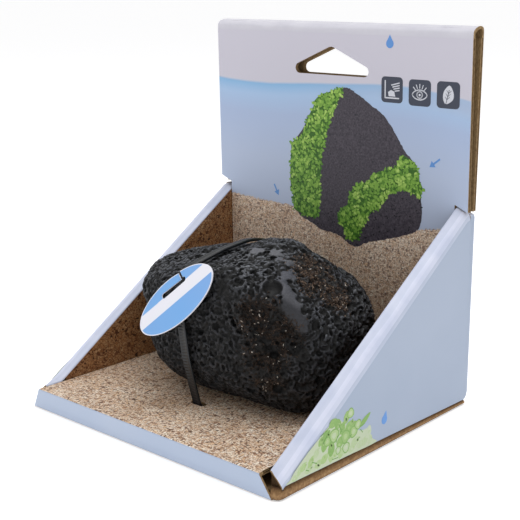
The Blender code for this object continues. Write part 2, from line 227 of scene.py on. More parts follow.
def fluting(points, triangles, normal, along):
    """The wavy middle sheet, cut to the board's outline."""
    across = np.cross(normal, along)
    places = points @ across
    reach = points @ along
    level = float(np.mean(points @ normal)) - BOARD / 2
    height = (BOARD - 2 * LINER - FLUTE_SHEET) / 2
    steps = int((places.max() - places.min() + FLUTE_PITCH) / FLUTE_PITCH * 8)
    shell = Shell()
    rings = []
    for end in (reach.min() - 1, reach.max() + 1):
        upper = []
        lower = []
        for i in range(steps + 1):
            place = places.min() - FLUTE_PITCH / 2 + i * FLUTE_PITCH / 8
            swing = level + height * math.sin(2 * math.pi * place / FLUTE_PITCH)
            for row, lift in ((upper, FLUTE_SHEET / 2), (lower, -FLUTE_SHEET / 2)):
                row.append(across * place + along * end + normal * (swing + lift))
        rings.append(upper + lower[::-1])
    shell.sweep(rings, [0] * len(rings[0]), 0)
    top, faces, sides = slab(points, triangles, normal, LINER * 0.5, BOARD - LINER)
    blank = Shell()
    blank.add(top, faces + sides)
    objects = []
    for name, part in (("flutes", shell), ("blank", blank)):
        mesh = bpy.data.meshes.new(name)
        mesh.from_pydata([tuple(p) for p in part.points], [], part.faces)
        face_outwards(mesh)
        objects.append(bpy.data.objects.new(name, mesh))
        bpy.context.scene.collection.objects.link(objects[-1])
    trim = objects[0].modifiers.new("trim", "BOOLEAN")
    trim.operation = "INTERSECT"
    trim.object = objects[1]
    cut = objects[0].evaluated_get(bpy.context.evaluated_depsgraph_get()).to_mesh()
    made = [v.co[:] for v in cut.vertices], [tuple(p.vertices) for p in cut.polygons]
    for item in objects:
        mesh = item.data
        bpy.data.objects.remove(item)
        bpy.data.meshes.remove(mesh)
    return made


def board(name, node, facing, along, materials, inset=0.0):
    """A flat board on a CAD node's outline: printed liner, flutes and kraft liner."""
    points, triangles = printed_side(node, facing)
    points[:, :2] *= 1.0 - inset / HALF
    a, b, c = (points[i] for i in triangles[0])
    normal = np.cross(b - a, c - a)
    normal /= np.linalg.norm(normal)
    along = np.array(along) - normal * np.dot(along, normal)
    along /= np.linalg.norm(along)
    shell = Shell()
    top, faces, sides = slab(points, triangles, normal, 0.0, LINER)
    count = len(triangles)
    shell.add(top, faces + sides, [0] * count + [1] * count + [1] * len(sides))
    low, faces, sides = slab(points, triangles, normal, BOARD - LINER, LINER)
    shell.add(low, faces + sides, 1)
    middle, faces = fluting(points, triangles, normal, along)
    shell.add(middle, faces, 1)
    return piece(name, shell, materials, replaces=(node,), smooth=30)


# Materials

def linear(colour):
    """A colour written as sRGB hex, in linear values."""
    channels = []
    for i in (1, 3, 5):
        value = int(colour[i:i + 2], 16) / 255.0
        channels.append(value / 12.92 if value <= 0.04045 else ((value + 0.055) / 1.055) ** 2.4)
    return (*channels, 1.0)


def add(tree, kind, links=None, ramp=None, curve=None, **settings):
    """Add one node. Links gives its inputs by name or number, as values or other nodes' sockets."""
    made = tree.nodes.new("ShaderNode" + kind)
    for key, value in settings.items():
        setattr(made, key, value)
    for key, value in (links or {}).items():
        if isinstance(value, bpy.types.NodeSocket):
            tree.links.new(value, made.inputs[key])
        elif isinstance(value, str):
            made.inputs[key].default_value = linear(value)
        else:
            made.inputs[key].default_value = value
    if ramp:
        elements = made.color_ramp.elements
        elements.remove(elements[-1])
        elements[0].position = ramp[0][0]
        elements[0].color = linear(ramp[0][1])
        for place, colour in ramp[1:]:
            elements.new(place).color = linear(colour)
    if curve:
        points = made.mapping.curves[0].points
        points[0].location = curve[0]
        points[1].location = curve[-1]
        for place in curve[1:-1]:
            points.new(*place)
        made.mapping.update()
    return made


def material(name, **values):
    """A new material with its shader's plain values, and the parts needed to add a pattern."""
    made = bpy.data.materials.new(name)
    made.use_nodes = True
    shader = made.node_tree.nodes["Principled BSDF"]
    for key, value in values.items():
        socket = shader.inputs[key.replace("_", " ")]
        socket.default_value = linear(value) if isinstance(value, str) else value
    return made, made.node_tree, shader


def place_mm(tree):
    """Socket of a surface point's place in millimetres."""
    here = add(tree, "TexCoord").outputs["Object"]
    return add(tree, "VectorMath", {0: here, 3: 1 / MM}, operation="SCALE").outputs[0]


def dress(tree, shader, colour, height, strength, depth_mm):
    """Link a finished colour to the shader, and the relief that a height pattern gives."""
    tree.links.new(colour, shader.inputs["Base Color"])
    bump = add(tree, "Bump", {"Strength": strength, "Distance": depth_mm * MM, "Height": height})
    tree.links.new(bump.outputs[0], shader.inputs["Normal"])


def sand_colour(tree, point, shade="#FFFFFF", paler=0.0):
    """Halftone picture of gravel: grains 0.4 by 1.2 mm lying two ways, dark gaps between them."""
    layers = []
    for turn, stretch in (((0.2, 0.6, 0.6), (2.0, 0.68, 0.95)), ((0.1, -0.8, -0.9), (0.7, 1.9, 1.9))):
        drawn = add(tree, "Mapping", {0: point, 2: turn, 3: stretch}).outputs[0]
        grains = add(tree, "TexVoronoi", {"Vector": drawn, "Scale": 1.0, "Randomness": 1.0})
        rims = add(tree, "TexVoronoi", {"Vector": drawn, "Scale": 1.0, "Randomness": 1.0},
                   feature="DISTANCE_TO_EDGE")
        tone = add(tree, "SeparateColor", {0: grains.outputs["Color"]}).outputs[0]
        colour = add(tree, "ValToRGB", {0: tone}, ramp=(
            (0.0, "#4A342A"), (0.09, "#8A6652"), (0.2, "#CDA98A"), (0.34, "#ECD0B3"), (0.5, "#F9EDDA"),
            (0.64, "#EBD2B8"), (0.76, "#FFF9EC"), (0.88, "#E2BC90"), (1.0, "#F0DFD0"))).outputs[0]
        gap = add(tree, "MapRange", {0: rims.outputs["Distance"], 1: 0.0, 2: 0.13}).outputs[0]
        dark = add(tree, "ValToRGB", {0: gap}, ramp=((0.0, "#86695A"), (1.0, "#FFFFFF"))).outputs[0]
        layers.append(add(tree, "Mix", {0: 1.0, 6: colour, 7: dark}, data_type="RGBA",
                          blend_type="MULTIPLY").outputs[2])
    swap = add(tree, "TexNoise", {"Vector": point, "Scale": 0.8, "Detail": 2.0}).outputs[0]
    share = add(tree, "MapRange", {0: swap, 1: 0.47, 2: 0.53}).outputs[0]
    both = add(tree, "Mix", {0: share, 6: layers[0], 7: layers[1]}, data_type="RGBA").outputs[2]
    # paler mixes the gravel towards pale cream; on the header this is painted light.
    mixed = add(tree, "Mix", {0: paler, 6: both, 7: "#F0E0D2"}, data_type="RGBA").outputs[2]
    drift = add(tree, "TexNoise", {"Vector": point, "Scale": 0.05, "Detail": 3.0}).outputs[0]
    cloud = add(tree, "ValToRGB", {0: drift}, ramp=((0.3, "#E8E1DA"), (0.6, "#FFFFFF"))).outputs[0]
    soft = add(tree, "Mix", {0: 1.0, 6: mixed, 7: cloud}, data_type="RGBA", blend_type="MULTIPLY")
    return add(tree, "Mix", {0: 1.0, 6: soft.outputs[2], 7: shade}, data_type="RGBA",
               blend_type="MULTIPLY").outputs[2]


def print_on_liner(tree, shader, point, colour):
    """Ink on a thin liner: the flutes' faint washboard shows through it, with the paper's tooth."""
    across = add(tree, "SeparateXYZ", {0: point}).outputs[0]
    turn = add(tree, "Math", {0: across, 1: 2 * math.pi / FLUTE_PITCH}, operation="MULTIPLY").outputs[0]
    ridge = add(tree, "Math", {0: turn}, operation="SINE").outputs[0]
    tooth = add(tree, "TexNoise", {"Vector": point, "Scale": 2.2, "Detail": 4.0}).outputs[0]
    both = add(tree, "Math", {0: ridge, 1: 0.1, 2: tooth}, operation="MULTIPLY_ADD").outputs[0]
    dress(tree, shader, colour, both, 0.12, 0.06)


def sand_print(name, shade, roughness=0.5):
    """Offset print of gravel on clay-coated liner, with a thin water varnish: an even satin sheen."""
    made, tree, shader = material(name, Roughness=roughness, Specular_IOR_Level=0.35)
    point = place_mm(tree)
    print_on_liner(tree, shader, point, sand_colour(tree, point, shade))
    return made


def header_print():
    """Offset print on clay-coated liner: pale sky, a waterline, blue fading below it, gravel at the foot."""
    made, tree, shader = material("offset_print_header", Roughness=0.42, Specular_IOR_Level=0.4)
    point = place_mm(tree)
    sides = add(tree, "SeparateXYZ", {0: point}).outputs
    swell = add(tree, "TexNoise", {"Vector": point, "Scale": 0.045, "Detail": 2.0}).outputs[0]
    wide = add(tree, "MapRange", {0: sides[0], 1: -HALF, 2: HALF}).outputs[0]
    line = add(tree, "FloatCurve", {1: wide}, curve=(
        (0.0, 0.151), (0.21, 0.139), (0.37, 0.147), (0.52, 0.156), (0.66, 0.164), (0.77, 0.162), (0.87, 0.15),
        (1.0, 0.128))).outputs[0]
    crest = add(tree, "Math", {0: line, 1: 100.0, 2: 99.2}, operation="MULTIPLY_ADD").outputs[0]
    level = add(tree, "Math", {0: swell, 1: 1.0, 2: crest}, operation="MULTIPLY_ADD").outputs[0]
    depth = add(tree, "Math", {0: level, 1: sides[2]}, operation="SUBTRACT").outputs[0]
    share = add(tree, "MapRange", {0: depth, 1: -0.6, 2: 30.0}).outputs[0]
    water = add(tree, "ValToRGB", {0: share}, ramp=(
        (0.0, "#C9C6D2"), (0.03, "#88B5DC"), (0.09, "#97BBE0"), (0.17, "#A6C1E2"), (0.42, "#A9BAD9"),
        (1.0, "#B3C0D9"))).outputs[0]
    faded = add(tree, "MapRange", {0: wide, 1: 0.35, 2: 1.0, 4: 0.75}).outputs[0]
    near_line = add(tree, "MapRange", {0: share, 1: 0.25, 2: 0.12}).outputs[0]
    wet = add(tree, "MapRange", {0: share, 1: 0.005, 2: 0.03, 3: 0.0, 4: near_line}).outputs[0]
    fading = add(tree, "Math", {0: faded, 1: wet}, operation="MULTIPLY").outputs[0]
    water = add(tree, "Mix", {0: fading, 6: water, 7: "#ADB9D2"}, data_type="RGBA").outputs[2]
    shore = add(tree, "FloatCurve", {1: wide}, curve=(
        (0.0, 0.672), (0.12, 0.662), (0.25, 0.655), (0.33, 0.65), (0.41, 0.61), (0.5, 0.59), (0.64, 0.59),
        (0.75, 0.61), (0.84, 0.645), (1.0, 0.66))).outputs[0]
    rough = add(tree, "TexNoise", {"Vector": point, "Scale": 0.9, "Detail": 2.0}).outputs[0]
    ragged = add(tree, "Math", {0: rough, 1: 0.022, 2: shore}, operation="MULTIPLY_ADD").outputs[0]
    edge = add(tree, "Math", {0: ragged, 1: 100.0}, operation="MULTIPLY").outputs[0]
    below = add(tree, "Math", {0: edge, 1: sides[2]}, operation="SUBTRACT").outputs[0]
    is_sand = add(tree, "MapRange", {0: below, 1: 0.9, 2: 1.5}).outputs[0]
    # Painted light: the header's upright gravel is mixed paler so it reads as bright as the floor under the
    # overhead light.
    gravel = sand_colour(tree, point, paler=0.16)
    shown = add(tree, "Mix", {0: is_sand, 6: water, 7: gravel}, data_type="RGBA").outputs[2]
    print_on_liner(tree, shader, point, shown)
    return made


def flat_print(name, colour, deeper, roughness=0.42, crease=()):
    """Offset print of one pale tint on clay-coated liner; along a fold it is painted paler: partly thin, worn
    ink and partly a painted highlight on the fold's upward face.
    """
    made, tree, shader = material(name, Roughness=roughness, Specular_IOR_Level=0.4)
    point = place_mm(tree)
    drift = add(tree, "TexNoise", {"Vector": point, "Scale": 0.02, "Detail": 3.0}).outputs[0]
    tint = add(tree, "ValToRGB", {0: drift}, ramp=((0.35, colour), (0.7, deeper))).outputs[0]
    if crease:
        # Paler along the fold: worn ink and a painted highlight.
        worn = add(tree, "Attribute", attribute_name="crease").outputs["Fac"]
        fold_paling_noise = add(tree, "TexNoise", {"Vector": point, "Scale": 0.12, "Detail": 3.0}).outputs[0]
        pale = add(tree, "ValToRGB", {0: fold_paling_noise}, ramp=((0.35, crease[0]), (0.65, crease[1]))).outputs[0]
        tint = add(tree, "Mix", {0: worn, 6: tint, 7: pale}, data_type="RGBA").outputs[2]
    print_on_liner(tree, shader, point, tint)
    return made


def kraft_paper(name, browns, turned=False):
    """Unbleached kraft, made from long brown fibres: matt, with short darker and lighter hairs.

    On a turned fold, painted shade darkens the paper towards its upper and lower lines: the shadow under the
    overhanging panel and the dark line at the band's foot.
    """
    made, tree, shader = material(name, Roughness=0.85, Specular_IOR_Level=0.2)
    drawn = add(tree, "Mapping", {0: place_mm(tree), 3: (1.1, 0.35, 0.35)}).outputs[0]
    hairs = add(tree, "TexNoise", {"Vector": drawn, "Scale": 2.2, "Detail": 6.0, "Roughness": 0.7}).outputs[0]
    colour = add(tree, "ValToRGB", {0: hairs}, ramp=list(zip((0.25, 0.45, 0.6, 0.8), browns))).outputs[0]
    if turned:
        height = add(tree, "Attribute", attribute_name="crease").outputs["Fac"]
        # Painted shade: the band is darkest at its top and foot and lightest a third of the way up.
        rolled = add(tree, "ValToRGB", {0: height}, ramp=(
            (0.0, "#7E7A76"), (0.12, "#D4D1CE"), (0.35, "#FFFFFF"), (0.7, "#CFC9C3"),
            (1.0, "#6A6058"))).outputs[0]
        colour = add(tree, "Mix", {0: 1.0, 6: colour, 7: rolled}, data_type="RGBA",
                     blend_type="MULTIPLY").outputs[2]
    dress(tree, shader, colour, hairs, 0.35, 0.08)
    return made


def scoria():
    """Basalt scoria, frozen froth, with painted light: colour darkens with depth below the outside, a painted
    shade in pits and pockets that leaves the rims lightest, and what faces up is painted paler than the sides.
    """
    made, tree, shader = material("basalt_scoria", Roughness=0.58, Specular_IOR_Level=0.4)
    point = place_mm(tree)
    # depth darkens every colour below: painted shade in bubbles, pockets and the hollow under the brow.
    depth = add(tree, "Attribute", attribute_name="depth").outputs["Fac"]
    crust = add(tree, "Attribute", attribute_name="crust").outputs["Fac"]
    grain = add(tree, "TexNoise", {"Vector": point, "Scale": 1.6, "Detail": 6.0, "Roughness": 0.7}).outputs[0]
    patch = add(tree, "TexNoise", {"Vector": point, "Scale": 0.09, "Detail": 3.0}).outputs[0]
    plain = add(tree, "Attribute", attribute_name="plain").outputs["Fac"]
    cells = add(tree, "TexVoronoi", {"Vector": point, "Scale": 1.35, "Randomness": 1.0}).outputs["Distance"]
    pits = add(tree, "MapRange", {0: cells, 1: 0.38, 2: 0.16}).outputs[0]
    rough = add(tree, "Math", {0: 1.0, 1: plain}, operation="SUBTRACT").outputs[0]
    fine = add(tree, "Math", {0: pits, 1: rough}, operation="MULTIPLY").outputs[0]
    sunk = add(tree, "Math", {0: fine, 1: 0.16, 2: depth}, operation="MULTIPLY_ADD").outputs[0]
    spread = add(tree, "Math", {0: grain, 1: 0.35, 2: sunk}, operation="MULTIPLY_ADD").outputs[0]
    bare = add(tree, "ValToRGB", {0: spread}, ramp=(
        (0.1, "#94969C"), (0.18, "#66686D"), (0.27, "#333438"), (0.38, "#111214"),
        (0.8, "#060607"))).outputs[0]
    mottle = add(tree, "Math", {0: grain, 1: 0.5, 2: depth}, operation="MULTIPLY_ADD").outputs[0]
    even = add(tree, "ValToRGB", {0: mottle}, ramp=(
        (0.1, "#7A7A80"), (0.3, "#58585D"), (0.55, "#2F2F32"), (1.0, "#171719"))).outputs[0]
    skin = add(tree, "Mix", {0: plain, 6: bare, 7: even}, data_type="RGBA").outputs[2]
    # Painted light: surfaces are multiplied darker the less they face up, so the top reads lit and the sides
    # shaded.
    facing = add(tree, "NewGeometry").outputs["Normal"]
    upward = add(tree, "SeparateXYZ", {0: facing}).outputs[2]
    up_share = add(tree, "MapRange", {0: upward, 1: 0.5, 2: 0.98}).outputs[0]
    painted_top_light = add(tree, "ValToRGB", {0: up_share}, ramp=((0.0, "#76787D"), (1.0, "#FFFFFF"))).outputs[0]
    stone = add(tree, "Mix", {0: 1.0, 6: skin, 7: painted_top_light}, data_type="RGBA", blend_type="MULTIPLY").outputs[2]
    cool = add(tree, "ValToRGB", {0: patch}, ramp=((0.35, "#BFC2CB"), (0.65, "#FFFFFF"))).outputs[0]
    clean = add(tree, "Mix", {0: 1.0, 6: stone, 7: cool}, data_type="RGBA", blend_type="MULTIPLY").outputs[2]
    # The soil crust darkens with depth too: painted shade under the brow.
    soil_shade_tone = add(tree, "Math", {0: depth, 1: -0.22, 2: grain}, operation="MULTIPLY_ADD").outputs[0]
    soil = add(tree, "ValToRGB", {0: soil_shade_tone}, ramp=(
        (0.25, "#060505"), (0.45, "#13100D"), (0.7, "#2F251D"))).outputs[0]
    share = add(tree, "Math", {0: crust, 1: 0.75}, operation="MULTIPLY").outputs[0]
    shown = add(tree, "Mix", {0: share, 6: clean, 7: soil}, data_type="RGBA").outputs[2]
    dent = add(tree, "Math", {0: fine, 1: -1.4, 2: grain}, operation="MULTIPLY_ADD").outputs[0]
    dress(tree, shader, shown, dent, 0.7, 0.2)
    return made


def speckled(name, colours, roughness, spread=0.25):
    """A shape's own tone, stored on its points, picks its colour from a short range."""
    made, tree, shader = material(name, Roughness=roughness, Specular_IOR_Level=0.3)
    tone = add(tree, "Attribute", attribute_name="tone").outputs["Fac"]
    spots = add(tree, "TexNoise", {"Vector": place_mm(tree), "Scale": 1.5, "Detail": 3.0}).outputs[0]
    both = add(tree, "Math", {0: spots, 1: spread, 2: tone}, operation="MULTIPLY_ADD").outputs[0]
    stops = [(i / (len(colours) - 1), colour) for i, colour in enumerate(colours)]
    shown = add(tree, "ValToRGB", {0: both}, ramp=stops).outputs[0]
    dress(tree, shader, shown, spots, 0.3, 0.05)
    return made


def nylon():
    """Moulded black nylon 66: smooth and waxy, with a broad satin highlight."""
    made, tree, shader = material("nylon_66", Roughness=0.3, Specular_IOR_Level=0.45)
    drawn = add(tree, "TexNoise", {"Vector": place_mm(tree), "Scale": 0.5, "Detail": 4.0}).outputs[0]
    colour = add(tree, "ValToRGB", {0: drawn}, ramp=((0.3, "#0C0F12"), (0.7, "#14191E"))).outputs[0]
    dress(tree, shader, colour, drawn, 0.15, 0.05)
    return made


# Gussets: one bent board on each side

def heights(node, x, highest=True):
    """A node's upper or lower line at one X, as depths and heights for interpolation."""
    rows = {}
    for px, py, pz in node_points(node):
        if abs(abs(px) - x) < 0.02:
            rows.setdefault(round(py, 2), []).append(pz)
    depths = sorted(rows)
    pick = max if highest else min
    return depths, [pick(rows[y]) for y in depths]


TIP_THICKNESS = 0.55        # the crushed board at the fold's front tip
TIP_RECOVERY = 0.14         # how much thickness it regains for each millimetre rearwards
FACE = HALF - INK_ROOM      # the outer panels' printed faces


def gusset(side, materials):
    """Outer panel, soft fold and printed lining, swept from the front tip to the header."""
    sign = -1 if side == "left" else 1
    fold = "gusset_fold_" + side
    outer = heights(fold, HALF)
    inner = heights(fold, INNER)
    foot_y, foot_z = heights("gusset_outer_" + side, HALF, highest=False)
    foot = (foot_y[0], foot_y[-1]), (foot_z[0], foot_z[-1])
    front = outer[0][0]
    wall_rings = []
    lining_rings = []
    fold_wear_and_highlight = []
    for y in np.linspace(front, outer[0][-1], 90):
        high_out = np.interp(y, *outer)
        high_in = np.interp(y, *inner)
        low = min(np.interp(y, *foot), high_out - 0.9)
        drop = min(3.2, 0.8 * (high_out - low))
        thick = min(TIP_THICKNESS + TIP_RECOVERY * (y - front), BOARD)
        crest = 1.9 + 0.45 * wave(y * 0.06, 9.0, sign * 1.0)
        lift = 0.3 + 0.22 * wave(y * 0.11, 4.0, sign * 1.0)
        rim = [(FACE - reach, high_out + (high_in - high_out) * reach / (HALF - INNER) + rise)
               for reach, rise in ((0.75, -0.12 * drop), (crest, lift), (crest + 1.1, 0.12),
                                   (crest, lift - thick - 0.1))]
        skin = rounded(
            [(FACE, low), (FACE, high_out - drop), (FACE - 0.12, high_out - 0.45 * drop), *rim[:3],
             (INNER + 0.7, high_in - 0.02), (INNER + 0.12, high_in - 0.2), (INNER, high_in - 0.75)],
            [0.9] * 7, 3)
        core = rounded(
            [(FACE - thick, low), (FACE - thick, high_out - 0.5 * drop), rim[3],
             (INNER + 0.6 * thick, high_in - 1.1 * thick)],
            [0.4, 0.4], 3)
        wall_rings.append([(sign * x, y, z) for x, z in skin + core[::-1]])
        # Paleness along the fold: worn ink at the creases and a painted highlight on the strip's upward face.
        marks = [0.0] + [m for m in (0.0, 0.45, 0.85, 1.0, 0.75, 0.8, 0.9) for _ in range(3)] + [0.9]
        fold_wear_and_highlight += marks + [0.0] * len(core)
        if high_in - floor_top(y) > 1.4:
            top = high_in - 0.8
            low_in = floor_top(y) - 0.1
            lining_rings.append([(sign * INNER, y, top), (sign * INNER, y, low_in),
                                 (sign * (INNER + BOARD), y, low_in), (sign * (INNER + BOARD), y, top - 0.9)])
    inks = [0] * (len(skin) - 1) + [1] * (len(core) + 1)
    shell = Shell()
    shell.sweep(wall_rings, inks, 1, fold_wear_and_highlight)
    gusset_tail(shell, sign, (outer[0][-1] - 0.4, foot[0][1]), low, high_out)
    piece("gusset_wall_" + side, shell, [materials["gusset"], materials["kraft"]],
          replaces=(fold, "gusset_outer_" + side), smooth=40, attribute="crease")
    shell = Shell()
    shell.sweep(lining_rings, [0, 1, 1, 1], 1)
    piece("gusset_lining_" + side, shell, [materials["lining"], materials["kraft"]],
          replaces=("gusset_inner_" + side,), smooth=30)
    gusset_foot(side, materials["edge"], foot)
    crushed_tab(side, materials["edge"])


def gusset_tail(shell, sign, reach, low, high):
    """The outer panel's last stretch beside the header, its lower rear corner rounded."""
    start, rear = reach
    radius = 2.8
    inner = HALF - BOARD
    skin = FACE - 0.02                      # just inside the wall's face, where the two overlap
    rings = []
    for y in np.linspace(start, rear, 8):
        rise = radius * (1 - math.sqrt(max(0.0, 1 - (max(0.0, y - rear + radius) / radius) ** 2)))
        brim = high - 0.1 * rise
        rings.append([(sign * x, y, z) for x, z in (
            (skin, low + rise), (skin, brim - 1.2), (FACE - 0.25, brim - 0.45), (FACE - 0.8, brim - 0.1),
            (inner, brim), (inner, low + rise))])
    # The same paleness on the tail's fold: worn ink and a painted highlight.
    shell.sweep(rings, [0, 0, 0, 0, 1, 1], 1, [0.0, 0.0, 0.5, 0.9, 1.0, 0.0] * len(rings))


# The band's outer side as shares of its height and steps outwards, then its inner side
FOOT_SKIN = ((0.0, -0.4), (0.05, -0.1), (0.2, 0.12), (0.42, 0.14), (0.65, -0.14), (0.87, -0.55), (1.0, -0.95))
FOOT_CORE = ((1.0, -1.4), (0.0, -0.9))
FOOT_CORNER = 2.4           # radius of the band's turn at the front
FOOT_LOW = 0.04             # its lower line


def gusset_foot(side, edge, foot):
    """The unprinted fold between base and gusset: a soft band that turns the base's front corner."""
    sign = -1 if side == "left" else 1
    ahead = FRONT + 0.3
    beside = HALF - 0.3
    path = [(HALF - 3.5, ahead, 0.0, -1.0)]
    for turn in np.radians(np.linspace(0, 90, 9)):
        path.append((beside - FOOT_CORNER + FOOT_CORNER * math.sin(turn),
                     ahead + FOOT_CORNER - FOOT_CORNER * math.cos(turn), math.sin(turn), -math.cos(turn)))
    path += [(beside, y, 1.0, 0.0) for y in np.linspace(ahead + FOOT_CORNER + 2, foot[0][1] - 1.2, 40)]
    rings = []
    rolled = []
    for x, y, out_x, out_y in path:
        height = np.interp(y, *foot) - 0.3 - FOOT_LOW
        bulge = 1.0 + 0.15 * wave(y * 0.15, 2.0, x * 0.1)
        steps = [(share, out * bulge) for share, out in FOOT_SKIN] + list(FOOT_CORE)
        rings.append([(sign * (x + out_x * out), y + out_y * out, FOOT_LOW + height * share)
                      for share, out in steps])
        rolled += [share for share, out in steps]
    shell = Shell()
    # The shares of height set the kraft's painted shade.
    shell.sweep(rings, [0] * len(rings[0]), 0, rolled)
    piece("gusset_foot_" + side, shell, [edge], smooth=50, attribute="crease")


def crushed_tab(side, edge):
    """The crumpled flap end in the hollow below the fold's front tip."""
    sign = -1 if side == "left" else 1
    rings = []
    for share in np.linspace(0.0, 1.0, 13):
        x = INNER + 0.4 + 4.5 * share
        top = 7.9 - 3.6 * share
        low = 3.4 - 0.4 * share
        face = []
        for k in range(6):
            z = low + (top - low) * k / 5
            face.append((sign * x, FRONT + 2.6 - 0.5 * k / 5 + 0.5 * wave(x * 0.8, z * 0.7, 3.0), z))
        rings.append(face + [(px, py + 0.4, pz) for px, py, pz in face[::-1]])
    shell = Shell()
    shell.sweep(rings, [0] * 12, 0)
    # With no height shares its kraft takes the dark end of the painted shade: painted shade in the hollow.
    piece("crushed_tab_" + side, shell, [edge], smooth=50)


def front_lip(materials):
    """The lip folds up from the base and over into the floor."""
    corners = [(FRONT, 0.0), (LIP_LOW[1], FLOOR_FRONT), (FLOOR_LOW[1], FLOOR_FRONT)]
    outer = rounded(corners, [0.8], 6)
    inner = rounded([(FRONT + BOARD, 0.0), (FLOOR_LOW[1], FLOOR_FRONT - BOARD),
                     (FLOOR_LOW[1], FLOOR_FRONT - BOARD)], [0.2], 6)
    points = node_points("front_lip")
    foot = [p[0] for p in points if p[2] < 0.1]
    brim = [p[0] for p in points if p[2] > FLOOR_FRONT - 0.1]
    count = len(outer)
    rings = []
    for share in np.linspace(0.0, 1.0, 81):
        crushed = max(0.0, abs(2 * share - 1) - 0.96) / 0.04
        ring = []
        for i, (y, z) in enumerate(outer + inner[::-1]):
            if i >= count:
                near = np.array(outer[2 * count - 1 - i])
                y, z = (np.array((y, z)) - near) * (1 - 0.55 * crushed) + near
            left = min(foot) + (min(brim) - min(foot)) * z / FLOOR_FRONT
            right = max(foot) + (max(brim) - max(foot)) * z / FLOOR_FRONT
            x = left + share * (right - left)
            sway = 0.12 * abs(wave(x * 0.08, 2.0)) if 0 < i < count - 1 else 0.0
            ring.append((x, y + sway, z - sway * 0.6))
        rings.append(ring)
    printed = [0] * 4 + [2] * (count - 5)
    shell = Shell()
    shell.sweep(rings, printed + [1] * (2 * count - len(printed)), 1)
    piece("lip", shell, [materials["lip"], materials["kraft"], materials["floor"]],
          replaces=("front_lip",), smooth=40)


def header_roll(materials):
    """The header's top, rolled back over a low front shoulder and a higher rear one."""
    low = HEADER_HIGH[2]
    front = FOLD_LOW[1]
    back = FOLD_HIGH[1]
    top = FOLD_HIGH[2]
    corners = [(front, low), (front, low + 2.9), (back - 3.6, top), (back, top - 0.2), (back, low)]
    outer = rounded(corners, [2.0, 2.0, 1.9], 6)
    thin = 0.6 * BOARD
    inset = [(front + BOARD, low), (front + thin, low + 1.6), (back - 3.4, top - thin - 0.2),
             (back - thin, top - thin - 0.2), (back - thin, low)]
    inner = rounded(inset, [0.7, 0.8, 0.7], 6)
    rings = []
    marks = []
    for x in np.linspace(-HALF, HALF, 81):
        ring = []
        for i, (y, z) in enumerate(outer + inner[::-1]):
            if 0 < i < len(outer) - 1:
                dent = 0.3 * abs(wave(x * 0.06, i * 0.4)) + 0.1 * abs(wave(x * 0.5, i * 0.3, 4.0))
                ring.append((x, y + (0.4 * dent if y < (front + back) / 2 else -0.4 * dent), z - dent))
            else:
                ring.append((x, y, z))
        rings.append(ring)
        # The marks pale the roll's shoulders and top: worn ink and a painted highlight.
        marks += [0.0] + [0.5] * 6 + [0.9] * 6 + [0.5] * 6 + [0.0] + [0.0] * len(inner)
    inks = [0] * (len(outer) - 1) + [1] * (len(inner) + 1)
    shell = Shell()
    shell.sweep(rings, inks, 1, marks)
    piece("header_roll", shell, [materials["roll"], materials["kraft"]],
          replaces=("header_top_fold",), smooth=45, attribute="crease")


# Printed pictures, as thin ink shapes on the board

INK = 0.02                  # thickness of a printed shape


def smooth_outline(points, steps=4):
    """A closed curve through a few points."""
    points = np.array(points, float)
    path = []
    for i in range(len(points)):
        a, b, c, d = (points[(i + k) % len(points)] for k in (-1, 0, 1, 2))
        for t in np.arange(steps) / steps:
            path.append(0.5 * (2 * b + (c - a) * t + (2 * a - 5 * b + 4 * c - d) * t * t
                               + (3 * b - a - 3 * c + d) * t ** 3))
    return np.array(path)


def leaf(place, length, width, angle):
    """A pointed oval."""
    along = np.array((math.cos(angle), math.sin(angle)))
    across = np.array((-along[1], along[0]))
    shape = ((0.0, 0.0), (0.3, 0.42), (0.65, 0.4), (1.0, 0.0), (0.65, -0.4), (0.3, -0.42))
    return np.array([place + along * length * a + across * width * b for a, b in shape])


def drop(place, height):
    """A falling drop: a round foot and a point above it."""
    radius = height * 0.34
    angles = np.radians(np.linspace(-230, 50, 13))
    body = [(place[0] + radius * math.cos(a), place[1] + radius * math.sin(a)) for a in angles]
    return np.array(body + [(place[0], place[1] + height - radius)])


def rounded_square(place, side, radius):
    """A square outline with round corners."""
    outline = []
    for quarter, (sx, sy) in enumerate(((1, 1), (-1, 1), (-1, -1), (1, -1))):
        centre = (place[0] + sx * (side / 2 - radius), place[1] + sy * (side / 2 - radius))
        for t in np.radians(np.linspace(0, 90, 5)) + quarter * math.pi / 2:
            outline.append((centre[0] + radius * math.cos(t), centre[1] + radius * math.sin(t)))
    return np.array(outline)


def ring_stroke(outline, width):
    """A closed line of even width, as short four-sided strokes."""
    strokes = []
    for a, b in zip(outline, np.roll(outline, -1, axis=0)):
        strokes.append(line_stroke(a, b, width))
    return strokes


def line_stroke(a, b, width):
    """The outline of a straight stroke, reaching a little past both ends of its line."""
    a = np.array(a, float)
    b = np.array(b, float)
    along = (b - a) / max(np.linalg.norm(b - a), 1e-6)
    across = np.array((-along[1], along[0])) * width / 2
    reach = along * width * 0.3
    return np.array([a - reach - across, b + reach - across, b + reach + across, a - reach + across])


def inside(point, outline):
    """Even-odd test of a point in a closed outline."""
    x, y = point
    crossings = 0
    for (ax, ay), (bx, by) in zip(outline, np.roll(outline, -1, axis=0)):
        if (ay > y) != (by > y) and x < ax + (y - ay) * (bx - ax) / (by - ay):
            crossings += 1
    return crossings % 2 == 1


def on_header(u, v, lift):
    """A place on the header's printed face, or a lift in front of it."""
    return (u, header_face(v) - lift, v)


def on_wall(sign, front):
    """A gusset's outer face, u measured rearwards from the front fold."""
    return lambda u, v, lift: (sign * (HALF + lift - INK_ROOM), front + u, v)


